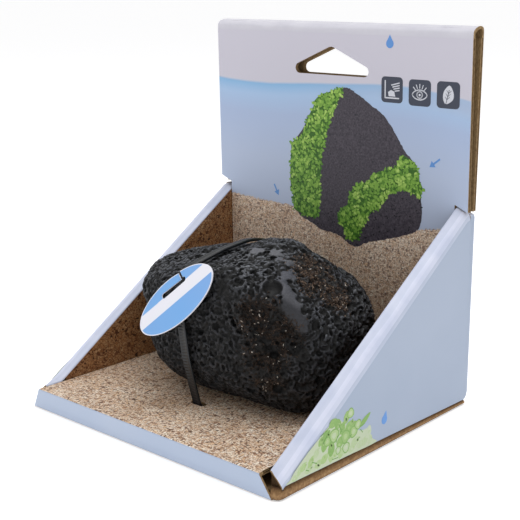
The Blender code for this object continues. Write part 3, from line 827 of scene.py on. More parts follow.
def ink_piece(name, shapes, surface, material_):
    """Flat shapes, each with its own lift and tone, laid on a surface."""
    shell = Shell()
    for outline, lift, tone in shapes:
        count = len(outline)
        points = [surface(u, v, lift) for u, v in outline]
        points += [surface(u, v, lift - INK) for u, v in outline]
        faces = [tuple(range(count)), tuple(range(2 * count - 1, count - 1, -1))]
        faces += [(i, i + count, (i + 1) % count + count, (i + 1) % count) for i in range(count)]
        shell.add(points, faces, 0, float(tone))
    return piece(name, shell, [material_], attribute="tone")


# An outline on the header's face, across from its middle and up
STONE_PICTURE = (
    (4.9, 114.1), (8.8, 113.3), (14.0, 110.6), (18.2, 108.1), (23.3, 105.1), (27.5, 100.0), (30.0, 96.8),
    (33.3, 92.3), (36.6, 89.3), (39.2, 84.1), (40.1, 77.3), (40.7, 70.5), (39.6, 64.8), (35.6, 62.0),
    (25.6, 58.4), (17.0, 55.9), (10.0, 53.0), (2.7, 56.4), (-6.5, 57.6), (-12.2, 60.1), (-17.9, 62.4),
    (-20.7, 69.6), (-21.3, 80.8), (-20.0, 90.0), (-13.7, 99.5), (-8.6, 107.8), (-2.6, 111.4),
)
FLANK_MOSS = (
    (4.3, 113.9), (1.8, 113.6), (-2.6, 111.9), (-6.2, 110.9), (-9.4, 108.2), (-9.9, 106.1), (-12.7, 101.5),
    (-14.6, 97.0), (-17.5, 93.1), (-21.1, 90.9), (-21.4, 87.6), (-21.9, 82.3), (-22.0, 74.8), (-20.7, 69.6),
    (-20.3, 64.3), (-16.9, 62.9), (-13.1, 61.9), (-8.4, 62.6), (-7.4, 66.8), (-6.4, 71.4), (-6.9, 76.6),
    (-6.4, 81.8), (-5.9, 86.9), (-5.0, 92.1), (-2.7, 98.1), (-0.9, 103.2), (1.8, 108.3), (4.0, 112.0),
)
BAND_MOSS = (
    (31.3, 91.1), (34.2, 90.4), (37.5, 88.7), (38.7, 85.4), (39.6, 82.1), (40.9, 79.8), (40.1, 76.7),
    (38.5, 76.4), (36.1, 77.9), (32.0, 78.1), (28.7, 76.9), (25.4, 75.5), (23.7, 72.4), (20.4, 69.8),
    (16.9, 66.5), (15.2, 63.3), (13.0, 59.4), (10.9, 56.1), (7.3, 55.5), (5.5, 59.0), (1.8, 62.9),
    (3.6, 66.8), (6.8, 69.5), (8.1, 74.0), (10.7, 77.6), (15.9, 79.3), (18.5, 82.4), (22.7, 84.3),
    (27.7, 85.9), (30.2, 88.6),
)
# A wash of water plants: its pale ground, then leaves as place, length, breadth, direction and tone
WASH_GROUND = (
    (3.7, 4.6), (5.6, 5.6), (7.8, 7.6), (13.8, 11.5), (19.4, 14.5), (24.7, 17.3), (29.5, 18.0), (33.2, 15.2),
    (41.1, 10.5), (45.5, 9.8), (48.0, 5.6), (50.0, 3.36), (33.5, 3.78), (19.6, 4.12), (9.2, 4.38),
)
WASH_LEAVES = (
    (8.0, 5.4, 3.0, 1.8, 20, 0.58), (10.1, 7.0, 3.6, 1.7, 60, 0.56), (12.0, 7.7, 4.0, 2.2, 35, 0.5),
    (14.6, 6.0, 4.2, 2.2, 10, 0.6), (15.7, 8.2, 4.4, 2.2, 50, 0.45), (18.5, 10.2, 4.2, 2.3, 40, 0.6),
    (19.5, 6.2, 4.4, 2.3, 15, 0.52), (22.5, 6.9, 4.4, 2.5, 30, 0.46), (25.9, 6.6, 4.2, 2.6, 80, 0.5),
    (28.4, 6.9, 4.4, 2.4, 15, 0.55), (31.0, 6.0, 4.2, 2.4, 60, 0.5), (33.4, 6.8, 5.2, 3.0, 25, 0.56),
    (36.5, 5.6, 4.0, 2.2, 0, 0.6), (38.6, 7.5, 5.0, 2.6, 20, 0.58), (41.5, 5.6, 4.4, 2.3, 10, 0.62),
    (43.9, 6.0, 4.4, 2.4, 35, 0.6), (46.8, 5.4, 3.6, 1.9, 60, 0.64), (45.8, 8.6, 4.6, 3.0, 70, 0.7),
    (20.8, 13.4, 4.0, 2.2, 45, 0.34), (23.3, 14.5, 4.6, 2.8, 30, 0.24), (22.4, 11.5, 4.8, 2.8, 70, 0.28),
    (25.9, 9.2, 5.6, 3.0, 85, 0.24), (26.7, 17.6, 4.6, 2.6, 20, 0.3), (29.2, 16.5, 4.6, 2.8, -35, 0.26),
    (31.6, 14.4, 4.6, 2.6, 70, 0.3), (33.7, 17.4, 4.4, 2.6, 80, 0.36), (35.3, 13.9, 5.0, 3.0, 30, 0.34),
    (38.4, 13.3, 4.4, 2.6, -10, 0.3), (30.8, 10.0, 4.8, 3.2, 20, 0.3), (34.4, 12.6, 4.6, 3.0, 60, 0.3),
)
# Round leaves with a dark rim and a paler middle: place, radius and the middle's tone
WASH_ROUNDS = (
    (27.3, 13.2, 2.5, 0.5), (33.3, 10.9, 2.4, 0.36), (37.6, 11.2, 2.1, 0.44), (35.9, 18.2, 1.8, 0.52),
    (23.8, 12.2, 1.7, 0.4), (40.0, 13.0, 1.8, 0.5), (33.6, 7.0, 1.9, 0.62), (29.5, 7.4, 1.4, 0.6),
)
# Thin strokes over the plant wash, from end to end
WASH_STROKES = (
    (20.4, 15.1, 24.7, 16.6), (29.7, 16.2, 31.3, 13.2), (28.2, 11.2, 31.6, 14.0), (16.2, 7.8, 18.6, 6.6),
    (26.4, 5.2, 29.4, 4.9), (41.0, 12.0, 43.6, 12.2), (29.0, 12.4, 28.4, 10.4), (35.4, 9.6, 36.6, 10.6),
    (13.2, 6.2, 14.6, 5.5), (41.4, 10.8, 42.6, 9.4), (39.6, 7.8, 41.0, 8.2), (24.6, 15.4, 22.0, 12.6),
)


def moss(outline, count, seed):
    """Small overlapping leaves that fill an outline, darker ones lowest."""
    rng = np.random.default_rng(seed)
    outline = smooth_outline(outline, 3)
    low = outline.min(0)
    high = outline.max(0)
    shapes = [(outline, 0.052, 0.05)]
    while len(shapes) < count:
        place = rng.uniform(low, high)
        if not inside(place, outline):
            continue
        layer = len(shapes) / count
        size = rng.uniform(0.9, 1.8)
        tone = 0.06 + 0.55 * layer + rng.uniform(-0.16, 0.16) + 0.3 * wave(place[0] * 0.33, place[1] * 0.33)
        tone += 0.14 * (place[1] - low[1]) / (high[1] - low[1])
        lift = 0.06 + 0.05 * layer
        shapes.append((leaf(place, size, size * rng.uniform(0.55, 0.85), rng.uniform(0, 2 * math.pi)),
                       lift, tone))
    return shapes


SIGN_PLACES = ((26.8, 114.7), (38.8, 114.3), (50.7, 114.3))
ARROWS = (((47.8, 91.2), (43.6, 88.0)), ((-30.6, 72.8), (-28.4, 68.5)))     # tail and tip


def tank_sign(cx, cz):
    """Strokes of a sign: a corner with a lump in it and four slanting lines above."""
    strokes = [line_stroke((cx - 3.0, cz + 3.2), (cx - 3.0, cz - 3.0), 0.5),
               line_stroke((cx - 3.0, cz - 3.0), (cx + 3.0, cz - 3.0), 0.5),
               np.array([(cx - 1.4, cz - 2.4), (cx - 1.7, cz - 0.9), (cx - 0.4, cz - 0.1),
                         (cx + 1.0, cz - 0.6), (cx + 1.5, cz - 2.4)])]
    for k in range(4):
        start = (cx + 3.2, cz + 2.6 - 0.9 * k)
        strokes.append(line_stroke(start, (cx - 0.2 + 0.5 * k, cz + 1.7 - 0.7 * k), 0.42))
    return strokes


def eye_sign(cx, cz):
    """Strokes of a sign: an open eye with five lashes above."""
    t = np.radians(np.linspace(0, 360, 18, endpoint=False))
    lens = np.stack([cx + 3.1 * np.cos(t), cz - 0.7 + 1.75 * np.sin(t) * np.abs(np.sin(t)) ** 0.2], 1)
    iris, pupil = (np.stack([cx + radius * np.cos(t), cz - 0.7 + radius * np.sin(t)], 1)
                   for radius in (1.15, 0.45))
    strokes = ring_stroke(lens, 0.42) + ring_stroke(iris, 0.45) + [pupil]
    for k in range(-2, 3):
        lean = math.radians(90 - 22 * k)
        near, far = ((cx + reach * math.cos(lean), cz - 0.9 + reach * math.sin(lean)) for reach in (2.6, 4.0))
        strokes.append(line_stroke(near, far, 0.32))
    return strokes


def leaf_sign(cx, cz):
    """A leaf's outline and the strokes of its veins."""
    blade = smooth_outline([(cx - 0.9, cz - 3.2), (cx + 1.9, cz - 1.6), (cx + 2.1, cz + 1.0),
                            (cx + 0.5, cz + 3.4), (cx - 1.7, cz + 1.4), (cx - 2.1, cz - 1.2)], 4)
    veins = [line_stroke((cx - 0.9, cz - 3.2), (cx + 0.4, cz + 1.8), 0.22)]
    for k in range(3):
        root = (cx - 0.5 + 0.32 * k, cz - 1.6 + 1.1 * k)
        veins.append(line_stroke(root, (root[0] + 1.1, root[1] + 0.9), 0.16))
        veins.append(line_stroke(root, (root[0] - 0.8, root[1] + 1.0), 0.16))
    return blade, veins


def header_pictures(inks):
    """The pictured mossy stone, three plain signs, a drop and two arrows."""
    rng = np.random.default_rng(5)
    outline = smooth_outline(STONE_PICTURE, 6)
    outline = outline + rng.normal(0, 0.12, outline.shape)
    shade = [(outline, 0.03, 0.5)]
    for _ in range(900):
        place = rng.uniform(outline.min(0), outline.max(0))
        if inside(place, outline):
            size = rng.uniform(0.4, 1.1)
            low_right = place[1] < 66 + 0.35 * place[0]
            dark = rng.uniform(-0.1, 0.1) if low_right else rng.uniform(0.2, 0.7)
            shade.append((leaf(place, size, size * 0.6, rng.uniform(0, math.pi)), 0.045, dark))
    ink_piece("picture_stone", shade, on_header, inks["stone"])
    ink_piece("picture_moss_flank", moss(FLANK_MOSS, 1300, 11), on_header, inks["moss"])
    ink_piece("picture_moss_band", moss(BAND_MOSS, 1000, 12), on_header, inks["moss"])

    signs = [(rounded_square(place, 9.4, 1.5), 0.04, 0.5) for place in SIGN_PLACES]
    ink_piece("sign_plates", signs, on_header, inks["sign"])
    tank, eye, sprout = SIGN_PLACES
    blade, veins = leaf_sign(*sprout)
    drawings = tank_sign(*tank) + eye_sign(*eye) + [blade]
    ink_piece("sign_drawings", [(outline, 0.07, 0.5) for outline in drawings], on_header, inks["pale"])
    ink_piece("sign_veins", [(outline, 0.1, 0.5) for outline in veins], on_header, inks["sign"])

    blue = [(drop((25.6, 131.2), 4.9), 0.04, 0.5)]
    for tail, tip in ARROWS:
        tail = np.array(tail)
        tip = np.array(tip)
        along = (tip - tail) / np.linalg.norm(tip - tail)
        across = np.array((-along[1], along[0]))
        neck = tip - along * 2.2
        blue.append((line_stroke(tail, neck, 0.7), 0.04, 0.5))
        blue.append((np.array([tip, neck + across * 1.4, neck - across * 1.4]), 0.04, 0.5))
    ink_piece("blue_marks", blue, on_header, inks["blue"])


def wall_pictures(side, inks):
    """A loose wash of water plants low on a gusset's outer face, and a drop beside it."""
    sign = -1 if side == "left" else 1
    surface = on_wall(sign, FRONT)
    rng = np.random.default_rng(21)
    shapes = [(smooth_outline(WASH_GROUND, 5), 0.022, 0.72)]
    for k, (u, v, length, breadth, turn, tone) in enumerate(WASH_LEAVES):
        lean = math.radians(turn)
        root = np.array((u, v)) - np.array((math.cos(lean), math.sin(lean))) * length / 2
        lift = 0.024 + 0.0004 * k
        shapes.append((smooth_outline(leaf(root, length, breadth * 1.25, lean), 3), lift, tone))
        for _ in range(2):
            spot = root + rng.uniform(0.2, 0.8) * length * np.array((math.cos(lean), math.sin(lean)))
            fleck = leaf(spot, length * 0.3, breadth * 0.35, lean + rng.uniform(-1, 1))
            shapes.append((smooth_outline(fleck, 2), lift + 0.0002, tone + rng.uniform(-0.16, 0.2)))
    turns = np.radians(np.linspace(0, 360, 14, endpoint=False))
    for k, (u, v, radius, tone) in enumerate(WASH_ROUNDS):
        for reach, shade, lift in ((1.0, 0.2, 0.038), (0.8, tone, 0.039), (0.42, tone + 0.14, 0.04)):
            wobble = reach * radius * (1 + 0.07 * np.sin(3 * turns + k))
            shapes.append((np.stack([u + wobble * np.cos(turns), v + wobble * np.sin(turns)], 1),
                           lift + 0.0012 * k, shade))
    shapes.append((smooth_outline(leaf(np.array((40.6, 11.6)), 7.2, 2.3, math.radians(30)), 3), 0.05, 0.24))
    for k, (u, v, far_u, far_v) in enumerate(WASH_STROKES):
        shapes.append((line_stroke((u, v), (far_u, far_v), 0.3), 0.0505 + 0.0007 * k, 0.08))
    ink_piece("wash_plants_" + side, shapes, surface, inks["wash"])
    lean = math.radians(-17)
    body = drop((0.0, 0.0), 4.9) * (0.95, 1.0)
    body = body @ np.array(((math.cos(lean), math.sin(lean)), (-math.sin(lean), math.cos(lean))))
    ink_piece("wash_drop_" + side, [(body + (54.9, 10.0), 0.04, 0.5)], surface, inks["blue"])


# The rock

VOXEL = 0.37                # spacing of the volume that the rock is carved from
ROCK_TRIANGLES = 190000
# Centre and reach of places that are smoother than the rest, in the frame's millimetres
SMOOTH_PLACES = (
    ((8.8, -5.4, 61.9), 2.9),
    ((14.8, -2.7, 61.6), 2.7),
    ((18.5, -4.8, 60.9), 2.2),
    ((22.9, -4.2, 59.7), 2.5),
    ((27.9, -11.2, 57.4), 2.9),
    ((29.9, -15.2, 56.2), 2.4),
    ((28.8, -20.0, 55.3), 4.0),
    ((32.8, -17.0, 54.2), 2.8),
    ((34.6, -18.0, 52.3), 3.0),
    ((36.0, -18.5, 50.2), 3.1),
    ((37.4, -18.8, 48.0), 3.2),
    ((38.6, -18.4, 45.8), 3.1),
    ((39.6, -17.8, 43.6), 2.8),
)
# Centre and radius of big gas pockets: one lone bubble, then the pockets that make the front hollow
POCKETS = (
    ((29.0, -20.2, 55.6), 3.4),
    ((29.6, -22.2, 52.6), 1.15),
    ((24.5, -26.8, 46.5), 4.4),
    ((28.5, -25.3, 46.4), 4.6),
    ((32.4, -23.1, 43.9), 4.5),
    ((35.3, -21.1, 40.1), 4.2),
    ((37.4, -20.0, 37.0), 3.8),
    ((27.5, -25.2, 40.5), 5.0),
    ((31.5, -23.6, 35.0), 5.0),
    ((28.0, -27.5, 30.0), 4.4),
    ((34.0, -24.0, 28.5), 4.0),
)
SEED_PLACES = (
    ((27.0, -25.0, 44.0), 7.5),
    ((32.0, -22.5, 39.0), 8.0),
    ((29.0, -24.5, 32.0), 7.5),
    ((30.0, -24.5, 24.0), 5.5),
    ((29.0, 2.0, 56.2), 8.0),
    ((34.5, 3.5, 52.3), 7.5),
    ((24.0, 4.5, 58.6), 5.0),
    ((33.0, -3.5, 53.5), 6.0),
    ((38.5, 2.0, 49.2), 6.0),
)
PATCH_START = -15.0         # the seeds behind this Y are paler


def lattice_noise(points, spacing, seed):
    """Smooth value noise from -1 to 1 for an array of points."""
    rng = np.random.default_rng(seed)
    size = 64
    lattice = rng.uniform(-1, 1, (size, size, size)).astype(np.float32)
    scaled = points / spacing
    cell = np.floor(scaled).astype(np.int32)
    part = scaled - cell
    part = part * part * (3 - 2 * part)
    total = np.zeros(len(points), np.float32)
    for corner in range(8):
        offset = np.array([(corner >> k) & 1 for k in range(3)])
        weight = np.prod(np.where(offset, part, 1 - part), axis=1)
        index = (cell + offset) % size
        total += weight * lattice[index[:, 0], index[:, 1], index[:, 2]]
    return total


# Bubbles in three sizes: least and greatest radius, how many are tried, and their spacing
BUBBLE_SIZES = ((1.25, 1.8, 190, 1.15), (0.75, 1.15, 6500, 0.95), (0.42, 0.68, 52000, 0.84))
SEED_COUNT = 3600
PALE_SEEDS = 0.025          # share of bright, almost white seeds


def near_places(points, places):
    """From 0 away from the given places to 1 at their centres."""
    share = np.zeros(len(points))
    for centre, reach in places:
        distance = np.linalg.norm(points - np.array(centre), axis=1) / reach
        share = np.maximum(share, np.exp(-distance ** 4))
    return share


def stone_surface():
    """The CAD stone's surface, smoothed, as points and triangles in millimetres."""
    bm = bmesh.new()
    bm.from_mesh(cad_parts["lava_rock"].data)
    bmesh.ops.remove_doubles(bm, verts=bm.verts, dist=1e-6)
    mesh = bpy.data.meshes.new("stone_guide")
    bm.to_mesh(mesh)
    bm.free()
    return modified(mesh, "SUBSURF", levels=1)


def modified(mesh, kind, **settings):
    """Points in millimetres and triangles of a mesh after one modifier; the mesh itself is removed."""
    guide = bpy.data.objects.new("guide", mesh)
    bpy.context.scene.collection.objects.link(guide)
    change = guide.modifiers.new("change", kind)
    for key, value in settings.items():
        setattr(change, key, value)
    made = guide.evaluated_get(bpy.context.evaluated_depsgraph_get()).to_mesh()
    made.calc_loop_triangles()
    points = np.empty(len(made.vertices) * 3)
    made.vertices.foreach_get("co", points)
    triangles = np.empty(len(made.loop_triangles) * 3, np.int32)
    made.loop_triangles.foreach_get("vertices", triangles)
    bpy.data.objects.remove(guide)
    bpy.data.meshes.remove(mesh)
    return points.reshape(-1, 3) / MM, triangles.reshape(-1, 3)


class Volume:
    """Distances on a grid round the stone, negative inside it."""

    def __init__(self, field, start):
        self.field = field
        self.start = start
        self.axes = [(np.arange(n) + s) * VOXEL for n, s in zip(field.shape, start)]

    def sample(self, points):
        """Distances at points between the grid's."""
        place = points / VOXEL - self.start
        cell = np.clip(np.floor(place).astype(int), 0, np.array(self.field.shape) - 2)
        part = place - cell
        total = np.zeros(len(points))
        for corner in range(8):
            offset = np.array([(corner >> k) & 1 for k in range(3)])
            weight = np.prod(np.where(offset, part, 1 - part), axis=1)
            index = cell + offset
            total += weight * self.field[index[:, 0], index[:, 1], index[:, 2]]
        return total

    def remove_ball(self, centre, radius, stretch):
        """Cut away a ball, stretched along each axis."""
        reach = radius * 1.3 + VOXEL
        low = np.maximum(np.floor((centre - reach) / VOXEL).astype(int) - self.start, 0)
        high = np.minimum(np.ceil((centre + reach) / VOXEL).astype(int) - self.start + 1, self.field.shape)
        window = tuple(slice(a, b) for a, b in zip(low, high))
        x, y, z = (((self.axes[k][window[k]] - centre[k]) / stretch[k]) ** 2 for k in range(3))
        distance = np.sqrt(x[:, None, None] + y[None, :, None] + z[None, None, :])
        self.field[window] = np.maximum(self.field[window], radius - distance)


def stone_block():
    """The stone before its small bubbles, with and without its big pockets."""
    points, triangles = stone_surface()
    transform = openvdb.createLinearTransform(voxelSize=VOXEL)
    level = openvdb.FloatGrid.createLevelSetFromPolygons(
        points.astype(np.float32), triangles=triangles.astype(np.uint32), transform=transform,
        exBandWidth=4.0, inBandWidth=10.0)
    start = np.floor(points.min(0) / VOXEL).astype(int) - 4
    stop = np.ceil(points.max(0) / VOXEL).astype(int) + 4
    field = np.zeros(tuple(stop - start), np.float32)
    level.copyToArray(field, ijk=tuple(int(i) for i in start))
    volume = Volume(field, start)
    band = np.abs(field) < 3.6
    grid = np.stack(np.nonzero(band), -1)
    near = ((grid + start) * VOXEL).astype(np.float32)
    smooth = near_places(near, SMOOTH_PLACES)
    worn = 0.12 + 0.5 * lattice_noise(near, 6.0, 1)
    worn += (1 - 0.85 * smooth) * (0.18 * lattice_noise(near, 2.2, 2) + 0.07 * lattice_noise(near, 0.9, 4))
    field[band] += np.maximum(worn, 0.0)
    skin = Volume(field.copy(), start)
    rng = np.random.default_rng(8)
    for centre, radius in POCKETS:
        volume.remove_ball(np.array(centre), radius, rng.uniform(0.92, 1.08, 3))
    return volume, skin, points, triangles


def scatter(points, triangles, count, rng):
    """Random places on a surface and its normals there."""
    a, b, c = (points[triangles[:, k]] for k in range(3))
    normals = np.cross(b - a, c - a)
    areas = np.linalg.norm(normals, axis=1)
    picks = rng.choice(len(triangles), count, p=areas / areas.sum())
    u = rng.random((count, 1))
    v = rng.random((count, 1))
    flip = (u + v) > 1
    u = np.where(flip, 1 - u, u)
    v = np.where(flip, 1 - v, v)
    places = a[picks] + (b - a)[picks] * u + (c - a)[picks] * v
    return places, normals[picks] / areas[picks, None]


def bubbles(volume, points, triangles):
    """Gas bubbles cut open by the stone's surface: centres and radii, the big ones placed first."""
    rng = np.random.default_rng(3)
    centres = np.zeros((40000, 3))
    radii = np.zeros(40000)
    count = 0
    for low, high, tries, spacing in BUBBLE_SIZES:
        places, normals = scatter(points, triangles, tries, rng)
        for _ in range(24):
            outside = volume.sample(places) > 0
            places[outside] -= normals[outside] * 0.35
        sizes = rng.uniform(low, high, tries)
        healed = near_places(places, SMOOTH_PLACES) + 0.3 * lattice_noise(places, 1.8, 7)
        wanted = healed < rng.uniform(0.2, 0.5, tries)
        places -= normals * (sizes * rng.uniform(-0.1, 0.5, tries))[:, None]
        for centre, size in zip(places[wanted], sizes[wanted]):
            gap = np.linalg.norm(centres[:count] - centre, axis=1) - spacing * (radii[:count] + size)
            if count and gap.min() < 0.0:
                continue
            centres[count] = centre
            radii[count] = size
            count += 1
    return centres[:count], radii[:count]


def largest_body(count, triangles):
    """Which triangles belong to the biggest connected body."""
    label = np.arange(count)
    while True:
        least = label[triangles].min(1)
        new = label.copy()
        for k in range(3):
            np.minimum.at(new, triangles[:, k], least)
        new = new[new]
        if np.array_equal(new, label):
            break
        label = new
    names, sizes = np.unique(label[triangles[:, 0]], return_counts=True)
    return label[triangles[:, 0]] == names[sizes.argmax()]


def lava_rock(stone):
    """The carved stone; its points hold their depth below its outside and shares of crust and smooth skin."""
    volume, skin, points, triangles = stone_block()
    pocketed = Volume(volume.field.copy(), volume.start)
    rng = np.random.default_rng(9)
    for centre, radius in zip(*bubbles(volume, points, triangles)):
        volume.remove_ball(centre, radius, rng.uniform(0.78, 1.25, 3))
    grid = openvdb.FloatGrid(float(volume.field.max()))
    grid.transform = openvdb.createLinearTransform(voxelSize=VOXEL)
    grid.copyFromArray(volume.field, ijk=tuple(int(i) for i in volume.start))
    points, triangles, quads = grid.convertToPolygons(isovalue=0.0, adaptivity=0.0)
    quads = quads.astype(int)
    triangles = np.vstack([triangles.astype(int).reshape(-1, 3), quads[:, [0, 1, 2]], quads[:, [0, 2, 3]]])
    triangles = triangles[largest_body(len(points), triangles)]
    used, index = np.unique(triangles, return_inverse=True)
    points = points[used].astype(float)
    triangles = index.reshape(-1, 3)
    a, b, c = (points[triangles[:, k]] for k in range(3))
    if np.einsum("ij,ij->", a, np.cross(b, c)) < 0:
        triangles = triangles[:, ::-1]
    fine = bpy.data.meshes.new("fine_stone")
    fine.from_pydata(points * MM, [], triangles)
    points, triangles = modified(fine, "DECIMATE", ratio=ROCK_TRIANGLES / len(triangles))
    pit = np.clip(-pocketed.sample(points) / 2.0, 0.0, 1.0)
    # The stone's material darkens with this depth: painted shade in the pits and pockets.
    depth = np.clip(-skin.sample(points) / 2.0, 0.0, 1.0)
    crust = near_places(points, SEED_PLACES)
    plain = near_places(points, SMOOTH_PLACES)
    mesh = bpy.data.meshes.new("scoria_stone")
    mesh.from_pydata(points * MM, [], triangles)
    for name, values in (("depth", depth), ("crust", crust), ("plain", plain)):
        layer = mesh.attributes.new(name, "FLOAT", "POINT")
        layer.data.foreach_set("value", values.astype(np.float32))
    mesh.materials.append(stone)
    mesh.shade_smooth()
    made = bpy.data.objects.new("scoria_stone", mesh)
    bpy.context.scene.collection.objects.link(made)
    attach(made, "root")
    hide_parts("lava_rock")
    return points, triangles, pit


def small_ball():
    """Corners and faces of an icosahedron of radius 1."""
    golden = (1 + 5 ** 0.5) / 2
    corners = []
    for k in range(3):
        for s in (-1, 1):
            for t in (-golden, golden):
                corner = [0.0, 0.0, 0.0]
                corner[(k + 1) % 3] = float(s)
                corner[(k + 2) % 3] = t
                corners.append(corner)
    corners = np.array(corners) / math.hypot(1.0, golden)
    gaps = np.linalg.norm(corners[:, None] - corners[None], axis=2)
    close = (gaps > 0) & (gaps < 1.1)
    faces = [(i, j, k) for i in range(12) for j in range(i + 1, 12) for k in range(j + 1, 12)
             if close[i, j] and close[j, k] and close[i, k]]
    return corners, faces


def seeds(points, triangles, pit, husk):
    """Plant seeds stuck to the stone in two crusts: thin husks lying on it every way."""
    rng = np.random.default_rng(17)
    a, b, c = (points[triangles[:, k]] for k in range(3))
    centres = (a + b + c) / 3
    normals = np.cross(b - a, c - a)
    areas = np.linalg.norm(normals, axis=1)
    clumps = np.clip(0.55 + 0.9 * lattice_noise(centres, 2.6, 6), 0.0, 1.0)
    odds = near_places(centres, SEED_PLACES) * clumps * areas * (pit[triangles].mean(1) < 0.4)
    picks = rng.choice(len(triangles), SEED_COUNT, p=odds / odds.sum())
    corners, faces = small_ball()
    shell = Shell()
    for pick in picks:
        normal = normals[pick] / areas[pick]
        along = rng.normal(size=3)
        along -= normal * np.dot(along, normal) * rng.uniform(0.4, 1.0)
        along /= np.linalg.norm(along)
        across = np.cross(normal, along)
        across /= np.linalg.norm(across)
        length = rng.uniform(0.35, 0.8)
        axes = np.array((along * length, across * rng.uniform(0.14, 0.24),
                         np.cross(along, across) * rng.uniform(0.12, 0.2)))
        behind = centres[pick][1] > PATCH_START
        tone = 0.75 * rng.beta(1.4, 2.9) if behind else 0.4 * rng.beta(1.2, 3.2)
        if rng.random() < PALE_SEEDS:
            tone = rng.uniform(0.7, 1.0)
        shell.add(corners @ axes + centres[pick] + normal * 0.08, faces, 0, float(tone))
    piece("seed_crust", shell, [husk], smooth=80, attribute="tone")


# The cable tie

TIE_THICKNESS = 1.1
TIE_BEVEL = 0.3
TIE_RIB = 0.14              # depth of the grooves between its ribs


def cable_tie(material_):
    """A ribbed strap drawn round the stone, rebuilt finely on the CAD strap's line."""
    points = node_points("cable_tie")
    strap = points[points[:, 2] > floor_top(0.0)]
    lean, foot = np.polyfit(strap[:, 2], strap[:, 0], 1)    # the strap lies in one leaning plane
    across = np.array((1.0, 0.0, -lean))
    across /= np.linalg.norm(across)
    up = np.array((lean, 0.0, 1.0))
    up /= np.linalg.norm(up)
    origin = np.array((foot, 0.0, 0.0))
    rel = points - origin
    half = np.abs(rel @ across)
    width = 2 * float(np.median(half[half > 1.0]))
    flat = np.stack([rel @ np.array((0.0, 1.0, 0.0)), rel @ up], 1)
    loop = convex(flat[np.abs(half - width / 2) < 0.3])
    loop = even(loop, 0.3)
    for _ in range(60):
        loop = (np.roll(loop, 1, 0) + 2 * loop + np.roll(loop, -1, 0)) / 4
    loop = even(loop, 0.28)
    tangent = np.roll(loop, -1, 0) - np.roll(loop, 1, 0)
    tangent /= np.linalg.norm(tangent, axis=1)[:, None]
    outward = np.stack([tangent[:, 1], -tangent[:, 0]], 1)
    side = width / 2
    side_in = side - TIE_BEVEL
    deep = TIE_THICKNESS - TIE_BEVEL
    # offsets across the strap and inwards from its outer face
    section = [(-side, TIE_BEVEL), (-side_in, 0.0), (-1.15, 0.0), (-0.95, TIE_RIB), (0.95, TIE_RIB),
               (1.15, 0.0), (side_in, 0.0), (side, TIE_BEVEL), (side, deep), (side_in, TIE_THICKNESS),
               (-side_in, TIE_THICKNESS), (-side, deep)]
    rings = []
    for i, (place, out) in enumerate(zip(loop, outward)):
        rib = TIE_RIB * (i % 4 < 2)
        ring = []
        for j, (sideways, down) in enumerate(section):
            sunk = down - rib if j in (3, 4) else down
            flat_place = place - out * sunk
            ring.append(origin + across * sideways + np.array((0.0, flat_place[0], 0.0)) + up * flat_place[1])
        rings.append(ring)
    shell = Shell()
    shell.sweep(rings, [0] * len(section), 0, closed=True)
    head = points[(points[:, 2] < 5.9) & (np.abs(points[:, 1]) < 6.0)]
    add_head(shell, head.min(0), head.max(0))
    piece("ribbed_tie", shell, [material_], replaces=("cable_tie",), smooth=35)


def add_head(shell, low, high):
    """The moulded ratchet head: a bevelled block on the strap."""
    centre = (low + high) / 2
    size = (high - low) / 2
    rings = []
    for z, shrink in ((-1.0, 0.78), (-0.8, 1.0), (0.8, 1.0), (1.0, 0.78)):
        ring = []
        for turn in np.radians(np.arange(0, 360, 22.5) + 11.25):
            x = math.copysign(min(1.0, abs(math.cos(turn)) * 1.25), math.cos(turn))
            y = math.copysign(min(1.0, abs(math.sin(turn)) * 1.25), math.sin(turn))
            ring.append(centre + size * np.array((x * shrink, y * shrink, z)))
        rings.append(ring)
    shell.sweep(rings, [0] * 16, 0)


def convex(points):
    """Convex outline of pairs, anticlockwise."""
    points = sorted(set(map(tuple, points.round(4))))
    chains = []
    for sequence in (points, points[::-1]):
        chain = []
        for point in sequence:
            while len(chain) > 1:
                (ax, ay), (bx, by) = chain[-2], chain[-1]
                if (bx - ax) * (point[1] - ay) - (by - ay) * (point[0] - ax) > 0:
                    break
                chain.pop()
            chain.append(point)
        chains.append(chain[:-1])
    return np.array(chains[0] + chains[1])


def even(loop, spacing):
    """The same closed loop with points an even distance apart, a multiple of four of them."""
    points = np.vstack([loop, loop[:1]])
    travel = np.concatenate([[0.0], np.cumsum(np.linalg.norm(np.diff(points, axis=0), axis=1))])
    count = 4 * int(travel[-1] / spacing / 4)
    places = np.linspace(0.0, travel[-1], count, endpoint=False)
    return np.stack([np.interp(places, travel, points[:, k]) for k in range(2)], 1)


# The tag

TAG_ANGLE = math.radians(45.0)
TAG_TILT = math.radians(20.0)
TAG_LENGTH = 37.4
TAG_BREADTH = 16.7
TAG_CARD = 0.4              # thickness
TAG_SLOT = (-4.9, 7.4)      # the strap's slot, along the card from its middle
TAG_SLOT_RISE = 4.4         # the slot's height above the middle
TAG_SLOT_HALF = 0.95        # half the slot's width
TAG_SLIT = (4.9, 6.4)       # the opening from the slot to the rim


def tag_axes():
    """The tag's long, short and rearward directions."""
    up = np.array((0.0, math.sin(TAG_TILT), math.cos(TAG_TILT)))
    right = np.array((1.0, 0.0, 0.0))
    behind = np.array((0.0, math.cos(TAG_TILT), -math.sin(TAG_TILT)))
    long_axis = right * math.cos(TAG_ANGLE) + up * math.sin(TAG_ANGLE)
    short_axis = up * math.cos(TAG_ANGLE) - right * math.sin(TAG_ANGLE)
    return long_axis, short_axis, behind


